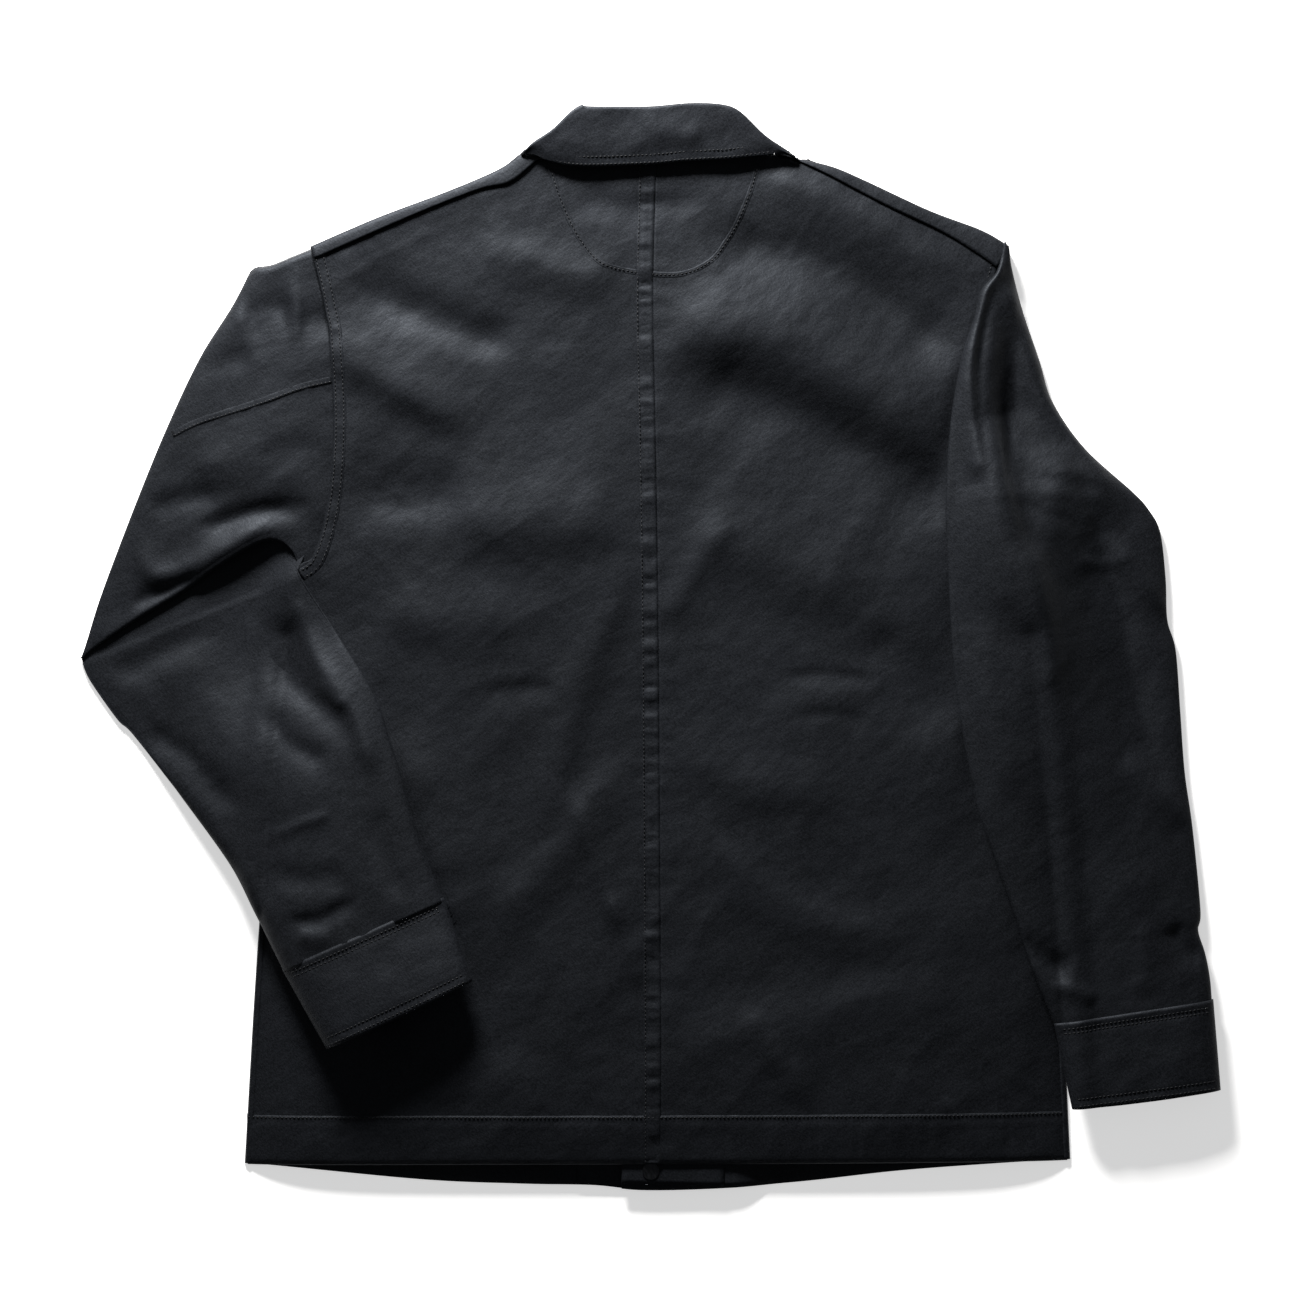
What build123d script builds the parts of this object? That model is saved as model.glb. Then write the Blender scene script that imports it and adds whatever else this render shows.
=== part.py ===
"""A cotton welding jacket lying face down, closed, with its sleeves folded in.

Millimetres. The floor is Z = 0, +Y runs towards the collar and +X is to the right of
someone who looks down at the back. The fronts are underneath and the back is on top.
"""
import os

from build123d import *

os.makedirs("parts", exist_ok=True)

# ---- driving dimensions -----------------------------------------------------------
CLOTH = 1.0            # one layer of cloth
FLAP_Z = 2.0           # underside of the left front, which laps outside
RIGHT_FLAP_Z = 6.0     # underside of the right front where it laps inside
BACK_Z = 16.0          # underside of the back panels
RIDE_Z = 17.8          # underside of a sleeve where it lies on the back
TUBE = 12.0            # from the lower to the upper layer of a sleeve
CUFF_TUBE = 14.0       # the same in a cuff, which is stiffer and rounder
WALL = 1.6             # width of a fold's wall
GAP = 0.8              # clearance between pieces that move apart
STACK = 60.0           # taller than everything
REACH = 500.0          # longer than everything

HINGE_LEFT = -95.0     # where the left front starts to open
HINGE_RIGHT = 105.0
LEFT_EDGE = 22.0       # front edges of the lapped fronts
RIGHT_EDGE = -21.2
LEFT_FACING = -52.6    # inner edges of the facings
RIGHT_FACING = 53.3
HEM_Y = -369.0
HEM_DEPTH = 31.0
FELL_WIDTH = 11.0      # the centre back's felled strip, from hem to neck facing
FELL_LENGTH = 600.0
BAND = 14.0            # front neckband
SLEEVE_TAPE = 8.0      # seam allowance round an armhole
LABEL = (52.0, 20.0)
LOOP = (64.0, 7.0)
NECK_X = 4.0           # middle of the neck
LABEL_Y = 318.0
LOOP_Y = 338.0
POINT_H = 1.6          # thickness of a collar point

SNAP_X = 0.5
SNAP_FIRST_Y = -375.0
SNAP_PITCH = 118.0
SNAP_COUNT = 6
CAP_R = 7.5
BARREL_R = 1.8
CLOTH_HOLE_R = 2.2
SOCKET_R = 6.5
SOCKET_BORE_R = 4.2
SOCKET_FLOOR = 0.6
SOCKET_H = 1.5
STUD_R = 3.4
STUD_CLEARANCE = 0.3   # from a stud to the floor of its socket
POST_R = 6.0
POST_H = 0.6
CUFF_SNAP_H = 1.0
CUFF_BARREL_H = 0.8

# ---- outlines, seen from above ----------------------------------------------------
SHOULDER_L = (-243.4, 289.4)
SHOULDER_R = (254.0, 290.0)
ARMPIT_L = (-253.7, 57.0)
ARMPIT_R = (264.0, 57.0)
ELBOW_L = (-410.0, -5.8)
ELBOW_R = (372.0, 60.0)
HEM_L = (-290.2, -370.1)
HEM_R = (301.0, -367.2)
NECK_L = (-97.0, 351.0)
NECK_R = (108.0, 351.0)
BACKSEAM_IN = (-228.2, 191.5)
BACKSEAM_OUT = (-358.2, 138.5)

armhole_top_l = [SHOULDER_L, (-234.7, 252.7), (-229.7, 222.5), BACKSEAM_IN]
armhole_low_l = [BACKSEAM_IN, (-226.9, 150.0), (-230.8, 107.6), (-241.2, 68.5), ARMPIT_L]
armhole_r = [SHOULDER_R, (242.0, 230.0), (238.5, 170.0), (242.0, 108.0), (252.0, 69.0), ARMPIT_R]
side_l = [ARMPIT_L, (-262.0, 10.0), (-279.4, -194.4), HEM_L]
side_r = [ARMPIT_R, (273.0, 10.0), (292.0, -194.0), HEM_R]
shoulder_l = [SHOULDER_L, (-193.0, 311.0), (-150.0, 327.0), (-122.4, 338.2), NECK_L]
shoulder_r = [SHOULDER_R, (237.2, 300.0), (198.0, 316.1), (136.8, 344.2), NECK_R]
shoulder_seam_l = [(-240.2, 277.0), (-165.6, 313.9), (-122.4, 330.5), (-96.0, 338.5)]
shoulder_seam_r = [(249.5, 272.0), (209.5, 300.2), (168.3, 319.7), (108.0, 343.0)]
back_neck_l = [(-96.0, 338.5), (-81.6, 350.9), (-45.0, 355.0), (4.0, 356.0)]
back_neck_r = [(4.0, 356.0), (50.0, 357.0), (90.0, 352.0), (108.0, 343.0)]
centre_back = [(4.0, 356.0), (2.0, 250.0), (5.5, 0.0), (7.0, -369.4)]
front_neck_l = [(-91.0, 346.0), (-74.0, 318.0), (-35.0, 288.0), (LEFT_EDGE, 272.0)]
front_neck_r = [(101.0, 346.0), (84.0, 318.0), (46.0, 288.0), (RIGHT_EDGE, 272.0)]
front_hem_l = [HEM_L, (-230.0, -375.5), (-165.6, -381.4), (HINGE_LEFT - GAP, -384.6)]
front_hem_r = [HEM_R, (252.0, -370.8), (180.0, -375.1), (HINGE_RIGHT + GAP, -383.3)]

upper_outer_top_l = [(-246.6, 289.4), (-272.4, 277.6), (-288.0, 272.9), (-324.0, 211.0),
                     (-347.0, 162.7), BACKSEAM_OUT]
upper_outer_low_l = [BACKSEAM_OUT, (-383.8, 68.5), (-406.4, 4.3), ELBOW_L]
forearm_outer_l = [ELBOW_L, (-401.8, -25.2), (-373.7, -59.8), (-336.2, -107.3),
                   (-301.1, -155.9), (-262.1, -231.1)]
forearm_inner_l = [ARMPIT_L, (-222.8, 8.9), (-193.0, -41.8), (-178.6, -86.4), (-147.6, -180.0)]
cuff_l = [(-262.1, -231.1), (-231.1, -285.1), (-126.7, -236.2), (-147.6, -180.0)]

upper_outer_r = [(257.8, 287.5), (269.3, 241.6), (290.0, 178.6), (329.0, 129.0),
                 (358.9, 101.5), ELBOW_R]
upper_inner_r = [(254.2, 288.0), (237.2, 257.8), (223.2, 209.5), (213.1, 140.4), (212.6, 60.0)]
forearm_outer_r = [ELBOW_R, (372.7, 21.6), (385.2, -87.8), (395.5, -180.0), (404.5, -254.2)]
forearm_inner_r = [(212.6, 60.0), (216.7, 1.4), (235.4, -114.5), (261.0, -188.6), (291.2, -271.1)]
cuff_r = [(404.5, -254.2), (410.3, -316.1), (303.1, -329.8), (291.2, -271.1)]

collar_top = [(-91.4, 355.7), (-69.8, 370.8), (-48.6, 388.2), (-1.7, 387.0), (49.7, 388.7),
              (79.9, 368.6), (105.8, 352.1)]
collar_edge = [(105.8, 352.1), (75.5, 353.0), (0.0, 347.2), (-60.0, 347.0), (-91.4, 355.7)]
half_moon = [(-71.0, 345.0), (-57.6, 308.2), (-37.4, 279.4), (5.0, 269.0), (43.9, 279.4),
             (63.4, 308.2), (77.0, 345.0)]
collar_point_l = [(-52.0, 384.0), (-8.0, 287.0), (-60.0, 232.0), (-90.5, 350.0)]
collar_point_r = [(63.0, 380.0), (15.0, 287.0), (66.0, 232.0), (100.5, 348.0)]

# Height of a sleeve's underside across X: it lies on the back, then falls to the floor.
lie_left = [(-430.0, 0.0), (-316.0, 0.0), (-290.0, RIDE_Z), (-90.0, RIDE_Z)]
lie_right = [(200.0, RIDE_Z), (306.0, RIDE_Z), (334.0, 0.0), (430.0, 0.0)]
lie_flat = [(-430.0, 0.0), (-90.0, 0.0)]
right_front_lie = [(-60.0, RIGHT_FLAP_Z), (58.0, RIGHT_FLAP_Z), (80.0, FLAP_Z), (130.0, FLAP_Z)]


# ---- helpers ----------------------------------------------------------------------
def shifted(points, dx, dy=0.0):
    return [(x + dx, y + dy) for x, y in points]


def raised(path, dz):
    return [(x, z + dz) for x, z in path]


def run(points):
    """One stretch of an outline: straight between two points, smooth through more."""
    if len(points) == 2:
        Line(*points)
    else:
        Spline(*points)


def outline(*runs):
    """The border made of these runs, joined end to end by straight lines."""
    with BuildLine() as border:
        for index, points in enumerate(runs):
            run(points)
            following = runs[(index + 1) % len(runs)]
            if points[-1] != following[0]:
                Line(points[-1], following[0])
    return border.line


def profile(path, thickness):
    with BuildLine() as border:
        Polyline(*path, *reversed(raised(path, thickness)), close=True)
    return border.line


def edge_strip(edge, dx, dy=0.0):
    return outline(edge, shifted(edge, dx, dy)[::-1])


def slab(border, low, thickness=CLOTH):
    """A flat layer inside one closed border, at one height."""
    with BuildPart() as cloth:
        with BuildSketch(Plane.XY.offset(low)):
            add(border)
            make_face()
        extrude(amount=thickness)
    return cloth.part


def layer(runs, low, thickness=CLOTH):
    """A flat layer of cloth with the outline that these runs make."""
    return slab(outline(*runs), low, thickness)


def draped(runs, path, thickness=CLOTH):
    """A layer of cloth whose underside follows path, a line of (x, z) points."""
    section = profile(path, thickness)
    with BuildPart() as cloth:
        add(layer(runs, 0.0, STACK))
        with BuildSketch(Plane.XZ):
            add(section)
            make_face()
        extrude(amount=REACH, both=True, mode=Mode.INTERSECT)
    return cloth.part


def fold_wall(runs, edge, dx, path, height):
    """The side of a flattened tube, where its cloth turns from one layer to the other."""
    with BuildPart() as wall:
        add(draped(runs, path, height))
        add(slab(edge_strip(edge, dx), 0.0, STACK), mode=Mode.INTERSECT)
    return wall.part


def discs(low, height, radius, centres):
    with BuildPart() as group:
        with BuildSketch(Plane.XY.offset(low)):
            with Locations(*centres):
                Circle(radius)
        extrude(amount=height)
    return group.part


def save(piece, name):
    piece.part.label = name
    export_step(piece.part, f"parts/{name}.step")


snap_places = [(SNAP_X, SNAP_FIRST_Y + SNAP_PITCH * number) for number in range(SNAP_COUNT)]

# ---- torso: back, shoulders and the sides of the fronts ---------------------------
with BuildPart() as back_panel_left:
    add(layer([side_l[::-1], armhole_low_l[::-1], armhole_top_l[:0:-1], shoulder_seam_l,
               back_neck_l, centre_back], BACK_Z))
save(back_panel_left, "back_panel_left")

with BuildPart() as back_panel_right:
    add(layer([centre_back[::-1], back_neck_r, shoulder_seam_r[::-1], armhole_r[1:], side_r],
              BACK_Z))
save(back_panel_right, "back_panel_right")

with BuildPart() as centre_back_seam:
    with BuildSketch(Plane.XY.offset(BACK_Z - CLOTH)):
        with Locations((0.5, HEM_Y + HEM_DEPTH + 4.0 + FELL_LENGTH / 2)):
            Rectangle(FELL_WIDTH, FELL_LENGTH)
    extrude(amount=CLOTH)
save(centre_back_seam, "centre_back_seam")

with BuildPart() as back_neck_facing:
    add(layer([half_moon], BACK_Z - CLOTH))
save(back_neck_facing, "back_neck_facing")

with BuildPart() as back_hem:
    add(layer([[(-286.5, HEM_Y), (297.5, HEM_Y + 2.5)],
               [(296.0, HEM_Y + HEM_DEPTH), (-284.0, HEM_Y + HEM_DEPTH)]], BACK_Z - CLOTH))
save(back_hem, "back_hem")

with BuildPart() as neck_label:
    with BuildSketch(Plane.XY.offset(BACK_Z - 2 * CLOTH)):
        with Locations((NECK_X, LABEL_Y)):
            RectangleRounded(*LABEL, 1.5)
    extrude(amount=CLOTH)
save(neck_label, "neck_label")

with BuildPart() as hanger_loop:
    with BuildSketch(Plane.XY.offset(BACK_Z - 2 * CLOTH)):
        with Locations((NECK_X, LOOP_Y)):
            SlotOverall(*LOOP)
    extrude(amount=CLOTH)
save(hanger_loop, "hanger_loop")

with BuildPart() as neckband_back:
    add(layer([[(-70.0, 350.5), (-46.0, 384.5)], [(52.0, 384.5), (78.0, 350.5)]],
              BACK_Z + CLOTH, RIDE_Z - BACK_Z - CLOTH))
save(neckband_back, "neckband_back")

for side, edge, seam in (("left", shoulder_l, shoulder_seam_l),
                         ("right", shoulder_r, shoulder_seam_r)):
    with BuildPart() as shoulder_strip:
        add(layer([edge, seam[::-1]], BACK_Z))
        add(slab(edge_strip(edge, 0.0, -WALL), CLOTH, BACK_Z))
    save(shoulder_strip, f"shoulder_strip_{side}")

with BuildPart() as front_side_left:
    add(layer([front_hem_l, [(HINGE_LEFT - GAP, -384.6), (HINGE_LEFT - GAP, 345.0)],
               shoulder_l[::-1], armhole_top_l, armhole_low_l, side_l], 0.0))
save(front_side_left, "front_side_left")

with BuildPart() as front_side_right:
    add(layer([front_hem_r, [(HINGE_RIGHT + GAP, -383.3), (HINGE_RIGHT + GAP, 345.0)],
               shoulder_r[::-1], armhole_r, side_r], 0.0))
save(front_side_right, "front_side_right")

for side, edge, turn in (("left", side_l, WALL), ("right", side_r, -WALL)):
    with BuildPart() as side_seam:
        add(slab(edge_strip(edge[1:], turn), CLOTH, BACK_Z - CLOTH))
    save(side_seam, f"side_seam_{side}")

with BuildPart() as armhole_seam_left:
    add(slab(edge_strip(armhole_top_l[1:] + armhole_low_l[1:-1], SLEEVE_TAPE), BACK_Z - CLOTH))
save(armhole_seam_left, "armhole_seam_left")

with BuildPart() as armhole_seam_right:
    add(slab(edge_strip(armhole_r[1:-1], -SLEEVE_TAPE), BACK_Z - CLOTH))
save(armhole_seam_right, "armhole_seam_right")

# ---- left front: laps outside and carries the caps and sockets --------------------
with BuildPart() as front_left_flap:
    add(layer([[(HINGE_LEFT, -384.6), (LEFT_EDGE, -388.8)], front_neck_l[::-1],
               [(HINGE_LEFT, 346.0), (HINGE_LEFT, -384.6)]], FLAP_Z))
    add(discs(FLAP_Z, CLOTH, CLOTH_HOLE_R, snap_places), mode=Mode.SUBTRACT)
save(front_left_flap, "front_left_flap")

with BuildPart() as front_left_facing:
    add(layer([[(LEFT_FACING, -386.0), (LEFT_EDGE - 1, -387.5)],
               [(LEFT_EDGE - 1, 254.0), (LEFT_FACING, 272.0)]], FLAP_Z + CLOTH))
    add(discs(FLAP_Z + CLOTH, CLOTH, CLOTH_HOLE_R, snap_places), mode=Mode.SUBTRACT)
save(front_left_facing, "front_left_facing")

with BuildPart() as neckband_front_left:
    add(slab(edge_strip(front_neck_l[:3], 0.0, -BAND), FLAP_Z + CLOTH))
save(neckband_front_left, "neckband_front_left")

with BuildPart() as front_snap_caps:
    add(discs(0.0, FLAP_Z, CAP_R, snap_places))
    add(discs(FLAP_Z, 2 * CLOTH, BARREL_R, snap_places))
    fillet(front_snap_caps.faces().group_by(Axis.Z)[0].edges(), 0.8)
save(front_snap_caps, "front_snap_caps")

socket_z = FLAP_Z + 2 * CLOTH
with BuildPart() as front_snap_sockets:
    add(discs(socket_z, SOCKET_H, SOCKET_R, snap_places))
    add(discs(socket_z + SOCKET_FLOOR, SOCKET_H, SOCKET_BORE_R, snap_places), mode=Mode.SUBTRACT)
save(front_snap_sockets, "front_snap_sockets")

# ---- right front: laps inside and carries the studs -------------------------------
with BuildPart() as front_right_flap:
    add(draped([[(RIGHT_EDGE, -388.5), (HINGE_RIGHT, -383.3)],
                [(HINGE_RIGHT, 346.0), front_neck_r[0]], front_neck_r], right_front_lie))
    add(discs(RIGHT_FLAP_Z, CLOTH, CLOTH_HOLE_R, snap_places), mode=Mode.SUBTRACT)
save(front_right_flap, "front_right_flap")

with BuildPart() as front_right_facing:
    add(layer([[(RIGHT_EDGE + 1, -387.0), (RIGHT_FACING, -386.0)],
               [(RIGHT_FACING, 272.0), (RIGHT_EDGE + 1, 254.0)]], RIGHT_FLAP_Z + CLOTH))
    add(discs(RIGHT_FLAP_Z + CLOTH, CLOTH, CLOTH_HOLE_R, snap_places), mode=Mode.SUBTRACT)
save(front_right_facing, "front_right_facing")

with BuildPart() as neckband_front_right:
    add(draped([front_neck_r[:3], shifted(front_neck_r[:3], 0.0, -BAND)[::-1]],
               raised(right_front_lie, CLOTH)))
save(neckband_front_right, "neckband_front_right")

stud_z = socket_z + SOCKET_FLOOR + STUD_CLEARANCE
with BuildPart() as front_snap_studs:
    add(discs(stud_z, RIGHT_FLAP_Z - stud_z, STUD_R, snap_places))
save(front_snap_studs, "front_snap_studs")

with BuildPart() as front_snap_posts:
    add(discs(RIGHT_FLAP_Z, 2 * CLOTH, BARREL_R, snap_places))
    add(discs(RIGHT_FLAP_Z + 2 * CLOTH, POST_H, POST_R, snap_places))
save(front_snap_posts, "front_snap_posts")

# ---- collar -----------------------------------------------------------------------
with BuildPart() as collar_under_leaf:
    add(layer([collar_top, collar_edge], RIDE_Z + GAP))
save(collar_under_leaf, "collar_under_leaf")

with BuildPart() as collar_top_leaf:
    add(layer([collar_top, collar_edge], RIDE_Z + GAP + CLOTH))
save(collar_top_leaf, "collar_top_leaf")

for side, corners in (("left", collar_point_l), ("right", collar_point_r)):
    with BuildPart() as collar_point:
        with BuildSketch():
            with BuildLine():
                Polyline(*corners, close=True)
            make_face()
        extrude(amount=POINT_H)
    save(collar_point, f"collar_point_{side}")

# ---- left sleeve ------------------------------------------------------------------
sleeve_top_l = shifted(armhole_top_l, -GAP)
sleeve_low_l = shifted(armhole_low_l, -GAP)
elbow_line_l = [sleeve_low_l[-1], ELBOW_L]
backseam_l = [BACKSEAM_OUT, (-324.4, 161.3), (-276.6, 176.5), sleeve_low_l[0]]
upper_tube = BACK_Z
upper_front_l = [upper_outer_top_l, upper_outer_low_l, elbow_line_l[::-1],
                 sleeve_low_l[::-1], sleeve_top_l[::-1]]

with BuildPart() as left_oversleeve:
    add(layer([upper_outer_top_l, backseam_l, sleeve_top_l[::-1]], upper_tube))
save(left_oversleeve, "left_oversleeve")

with BuildPart() as left_undersleeve:
    add(layer([upper_outer_low_l, elbow_line_l[::-1], sleeve_low_l[::-1], backseam_l[::-1]],
              upper_tube))
save(left_undersleeve, "left_undersleeve")

with BuildPart() as left_sleeve_front_upper:
    add(layer(upper_front_l, 0.0))
    add(fold_wall(upper_front_l, upper_outer_top_l[1:], WALL, lie_flat, upper_tube))
    add(fold_wall(upper_front_l, upper_outer_low_l, WALL, lie_flat, upper_tube))
save(left_sleeve_front_upper, "left_sleeve_front_upper")

forearm_l = [shifted(forearm_outer_l, 0.0, -GAP)[:-1] + [forearm_outer_l[-1]],
             [forearm_outer_l[-1], forearm_inner_l[-1]],
             forearm_inner_l[:0:-1] + [(ARMPIT_L[0] + GAP, ARMPIT_L[1] - 2 * GAP)]]

with BuildPart() as left_sleeve_back_lower:
    add(draped(forearm_l, raised(lie_left, TUBE)))
save(left_sleeve_back_lower, "left_sleeve_back_lower")

with BuildPart() as left_sleeve_front_lower:
    add(draped(forearm_l, lie_left))
    add(fold_wall(forearm_l, forearm_l[0], WALL, lie_left, TUBE))
    add(fold_wall(forearm_l, forearm_l[2], -WALL, lie_left, TUBE))
save(left_sleeve_front_lower, "left_sleeve_front_lower")

# ---- right sleeve -----------------------------------------------------------------
upper_r = [upper_outer_r, [ELBOW_R, upper_inner_r[-1]], upper_inner_r[::-1]]
forearm_r = [shifted(forearm_outer_r, 0.0, -GAP)[:-1] + [forearm_outer_r[-1]],
             [forearm_outer_r[-1], forearm_inner_r[-1]],
             forearm_inner_r[:0:-1] + shifted(forearm_inner_r[:1], 0.0, -GAP)]

for part_name, runs in (("upper", upper_r), ("lower", forearm_r)):
    with BuildPart() as sleeve_back:
        add(draped(runs, raised(lie_right, TUBE)))
    save(sleeve_back, f"right_sleeve_back_{part_name}")

    with BuildPart() as sleeve_front:
        add(draped(runs, lie_right))
        add(fold_wall(runs, runs[0], -WALL, lie_right, TUBE))
        add(fold_wall(runs, runs[2], WALL, lie_right, TUBE))
    save(sleeve_front, f"right_sleeve_front_{part_name}")


# ---- cuffs ------------------------------------------------------------------------
def cuff_outline(corners):
    """The cuff's plan, clear of the sleeve by a gap along its seam."""
    top_a, low_a, low_b, top_b = (Vector(*corner) for corner in corners)
    start = top_a + (low_a - top_a).normalized() * GAP
    end = top_b + (low_b - top_b).normalized() * GAP
    points = [(v.X, v.Y) for v in (start, low_a, low_b, end)]
    return [points[0:2], points[1:3], points[2:4]]


for side, corners, path, turn in (("left", cuff_l, lie_left, WALL),
                                  ("right", cuff_r, lie_right, -WALL)):
    plan = cuff_outline(corners)
    with BuildPart() as cuff_back:
        add(draped(plan, raised(path, CUFF_TUBE)))
    save(cuff_back, f"{side}_cuff_back")

    with BuildPart() as cuff_front:
        add(draped(plan, path))
        add(fold_wall(plan, plan[0], turn, path, CUFF_TUBE))
        add(fold_wall(plan, plan[2], -turn, path, CUFF_TUBE))
    save(cuff_front, f"{side}_cuff_front")

# One snap closes each cuff; its socket sits on the lower layer, inside the tube.
for side, centre, low in (("left", (-168.0, -232.0), RIDE_Z + CLOTH),
                          ("right", (385.0, -288.0), CLOTH)):
    with BuildPart() as cuff_snap:
        add(discs(low, CUFF_SNAP_H, SOCKET_R, [centre]))
        add(discs(low + CUFF_SNAP_H, CUFF_BARREL_H, BARREL_R, [centre]))
    save(cuff_snap, f"{side}_cuff_snap")
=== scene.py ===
"""A black cotton welding jacket, lying face down and closed. Its left forearm is folded in
over the back, and its right sleeve lies along the side.

Everything is in metres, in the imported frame: the floor is Z = 0, +Y runs towards the collar
and the back of the jacket is on top. Pattern points are written in millimetres, as on a
paper pattern, and scaled once by mm().
"""
import math

import bpy
import numpy as np
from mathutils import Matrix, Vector


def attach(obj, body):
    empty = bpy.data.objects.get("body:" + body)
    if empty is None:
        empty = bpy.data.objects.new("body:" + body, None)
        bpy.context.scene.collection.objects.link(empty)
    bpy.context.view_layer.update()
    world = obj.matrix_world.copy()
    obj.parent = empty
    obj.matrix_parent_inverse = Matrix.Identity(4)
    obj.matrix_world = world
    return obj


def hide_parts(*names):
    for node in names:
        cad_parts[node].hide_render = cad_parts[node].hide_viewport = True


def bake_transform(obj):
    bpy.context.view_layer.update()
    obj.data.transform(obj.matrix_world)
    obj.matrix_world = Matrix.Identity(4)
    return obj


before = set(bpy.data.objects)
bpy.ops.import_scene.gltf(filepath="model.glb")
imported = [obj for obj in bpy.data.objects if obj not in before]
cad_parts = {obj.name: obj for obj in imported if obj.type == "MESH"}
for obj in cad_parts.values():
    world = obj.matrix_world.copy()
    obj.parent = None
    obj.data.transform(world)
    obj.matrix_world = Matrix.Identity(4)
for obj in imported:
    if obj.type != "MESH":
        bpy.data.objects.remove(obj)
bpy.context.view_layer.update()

MM = 0.001
CLOTH = 0.8 * MM           # one layer
DOUBLE = 1.6 * MM          # two layers: cuffs, collar and hems
STITCH_PITCH = 3.0 * MM
FRAME_WIDTH = 936.0 * MM   # what the camera takes in, at the cloth's height


def mm(points):
    return np.array(points, float) * MM


# ---- the pattern's lines, in plan --------------------------------------------------
# the joints' places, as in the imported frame
SHOULDER_L, SHOULDER_R = mm([(-243.4, 289.4), (256.0, 289.0)])
ELBOW_L = mm((-410.0, -5.8))
side_l = mm([(-253.7, 57), (-262, 10), (-279.4, -194.4), (-290.2, -370.1)])
side_r = mm([(264, 57), (273, 10), (292, -194), (301, -367.2)])
armhole_l = mm([(-243.4, 289.4), (-234.7, 252.7), (-229.7, 222.5), (-226.9, 162.7),
                (-230.8, 107.6), (-241.2, 68.5), (-253.7, 57)])
armhole_r = mm([(256, 291), (242, 230), (238.5, 170), (242, 108), (252, 69), (264, 57)])
shoulder_l = mm([(-243.4, 289.4), (-193, 311), (-150, 327), (-122.4, 338.2), (-104.4, 347),
                 (-90.9, 356.9)])
shoulder_r = mm([(257.8, 289.5), (237.2, 301.2), (198, 316.1), (136.8, 344.2), (105.8, 352.1)])
shoulder_seam_l = mm([(-241.2, 281.5), (-230.4, 285.4), (-165.6, 313.9), (-122.4, 330.5),
                      (-100.3, 335.7), (-81.6, 350.9)])
shoulder_seam_r = mm([(249.5, 274), (237.2, 283), (209.5, 300.2), (168.3, 319.7),
                      (122.4, 343.7), (96, 355)])
neck_l = mm([(-81.6, 350.9), (-45, 357), (4, 358)])
neck_r = mm([(4, 358), (50, 358), (96, 355)])
centre_back = mm([(7.2, -369.4), (7.2, -262.8), (5.5, 0), (3.6, 144), (1.6, 252), (4, 358)])
hem_l = mm([(-290.2, -370.1), (-140, -369.6), (7.2, -369.4)])
hem_r = mm([(7.2, -369.4), (150, -368.6), (301, -367.2)])
front_hem = mm([(-290.2, -369.5), (-273.6, -370.8), (-165.6, -381.4), (-99.5, -384.5),
                (-42.5, -385.5), (-5, -388.8), (50.4, -387.4), (109.9, -383), (180, -375.1),
                (252, -369.6), (301, -366.6)])
upper_outer_l = mm([(-288, 272.9), (-301, 247.7), (-324, 211), (-347, 162.7), (-369.7, 107.6),
                    (-394.9, 41), (-406.4, 4.3), (-410, -5.8)])
shoulder_cap_l = mm([(-243.4, 289.4), (-258, 283.5), (-272.4, 277.6), (-283.3, 275.8),
                     (-288, 272.9)])
lip_l = mm([(-253.7, 57), (-256, 70), (-267, 81), (-283, 80), (-313, 62), (-338, 44),
            (-374, 22), (-401, 3), (-410, -5.8)])
forearm_outer_l = mm([(-410, -5.8), (-407.5, -14.4), (-401.8, -25.2), (-383.8, -50.4),
                      (-373.7, -59.8), (-347.8, -92.2), (-336.2, -107.3), (-301.1, -155.9),
                      (-281.1, -194.1), (-262.1, -231.1)])
forearm_inner_l = mm([(-252.7, 57), (-248, 47.9), (-222.8, 8.9), (-204.5, -18.7),
                      (-193, -41.8), (-187.2, -61.2), (-178.6, -86.4), (-165.6, -133.2),
                      (-147.6, -180)])
back_seam_l = mm([(-228.2, 191.5), (-250.6, 186.1), (-276.6, 176.5), (-304.1, 167.8),
                  (-324.4, 161.3), (-342.3, 152.6), (-352.1, 145.4), (-356.6, 139.7)])
cuff_l = mm([(-262.1, -231.1), (-147.6, -180.0), (-126.7, -236.2), (-231.1, -285.1)])
outer_r = mm([(257.8, 287.5), (259.9, 273.6), (269.3, 241.6), (280.8, 207.4), (290, 178.6),
              (313, 145.4), (347.4, 114.1), (358.9, 101.5), (367.5, 85), (371.5, 51.1),
              (372.7, 21.6), (378.7, 0), (382, -43.9), (385.2, -87.8), (390.8, -127.8),
              (396.4, -187.2), (394.6, -201.6), (399.6, -218.2), (403, -235.8),
              (404.5, -254.2)])
inner_r = mm([(254.2, 293), (248.4, 271.4), (237.2, 257.8), (232.6, 239.3), (223.2, 209.5),
              (215.3, 163.4), (211.7, 106.1), (213.1, 71.6), (216.7, 1.4), (223, -53.3),
              (235.4, -114.5), (246.2, -146.2), (261, -188.6), (273.6, -226.8),
              (291.2, -271.1)])
cuff_r = mm([(291.2, -271.1), (404.5, -254.2), (410.3, -316.1), (303.1, -329.8)])
collar_top = mm([(-91.4, 355.7), (-82.8, 362.2), (-69.8, 370.8), (-56.9, 383.1),
                 (-48.6, 388.2), (-43.2, 387.1), (-1.7, 387), (27.4, 389.4), (49.7, 388.7),
                 (63.4, 384), (79.9, 368.6), (90, 361.1), (105.8, 352.1)])
collar_edge = mm([(-92.5, 355.7), (-82.6, 354.7), (-75.2, 351), (-61.5, 347.3), (-43.2, 346),
                  (-1.7, 347.3), (25.8, 349.6), (56.9, 351.4), (89.3, 355.1), (98.4, 354.7),
                  (106, 352.1)])
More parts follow.
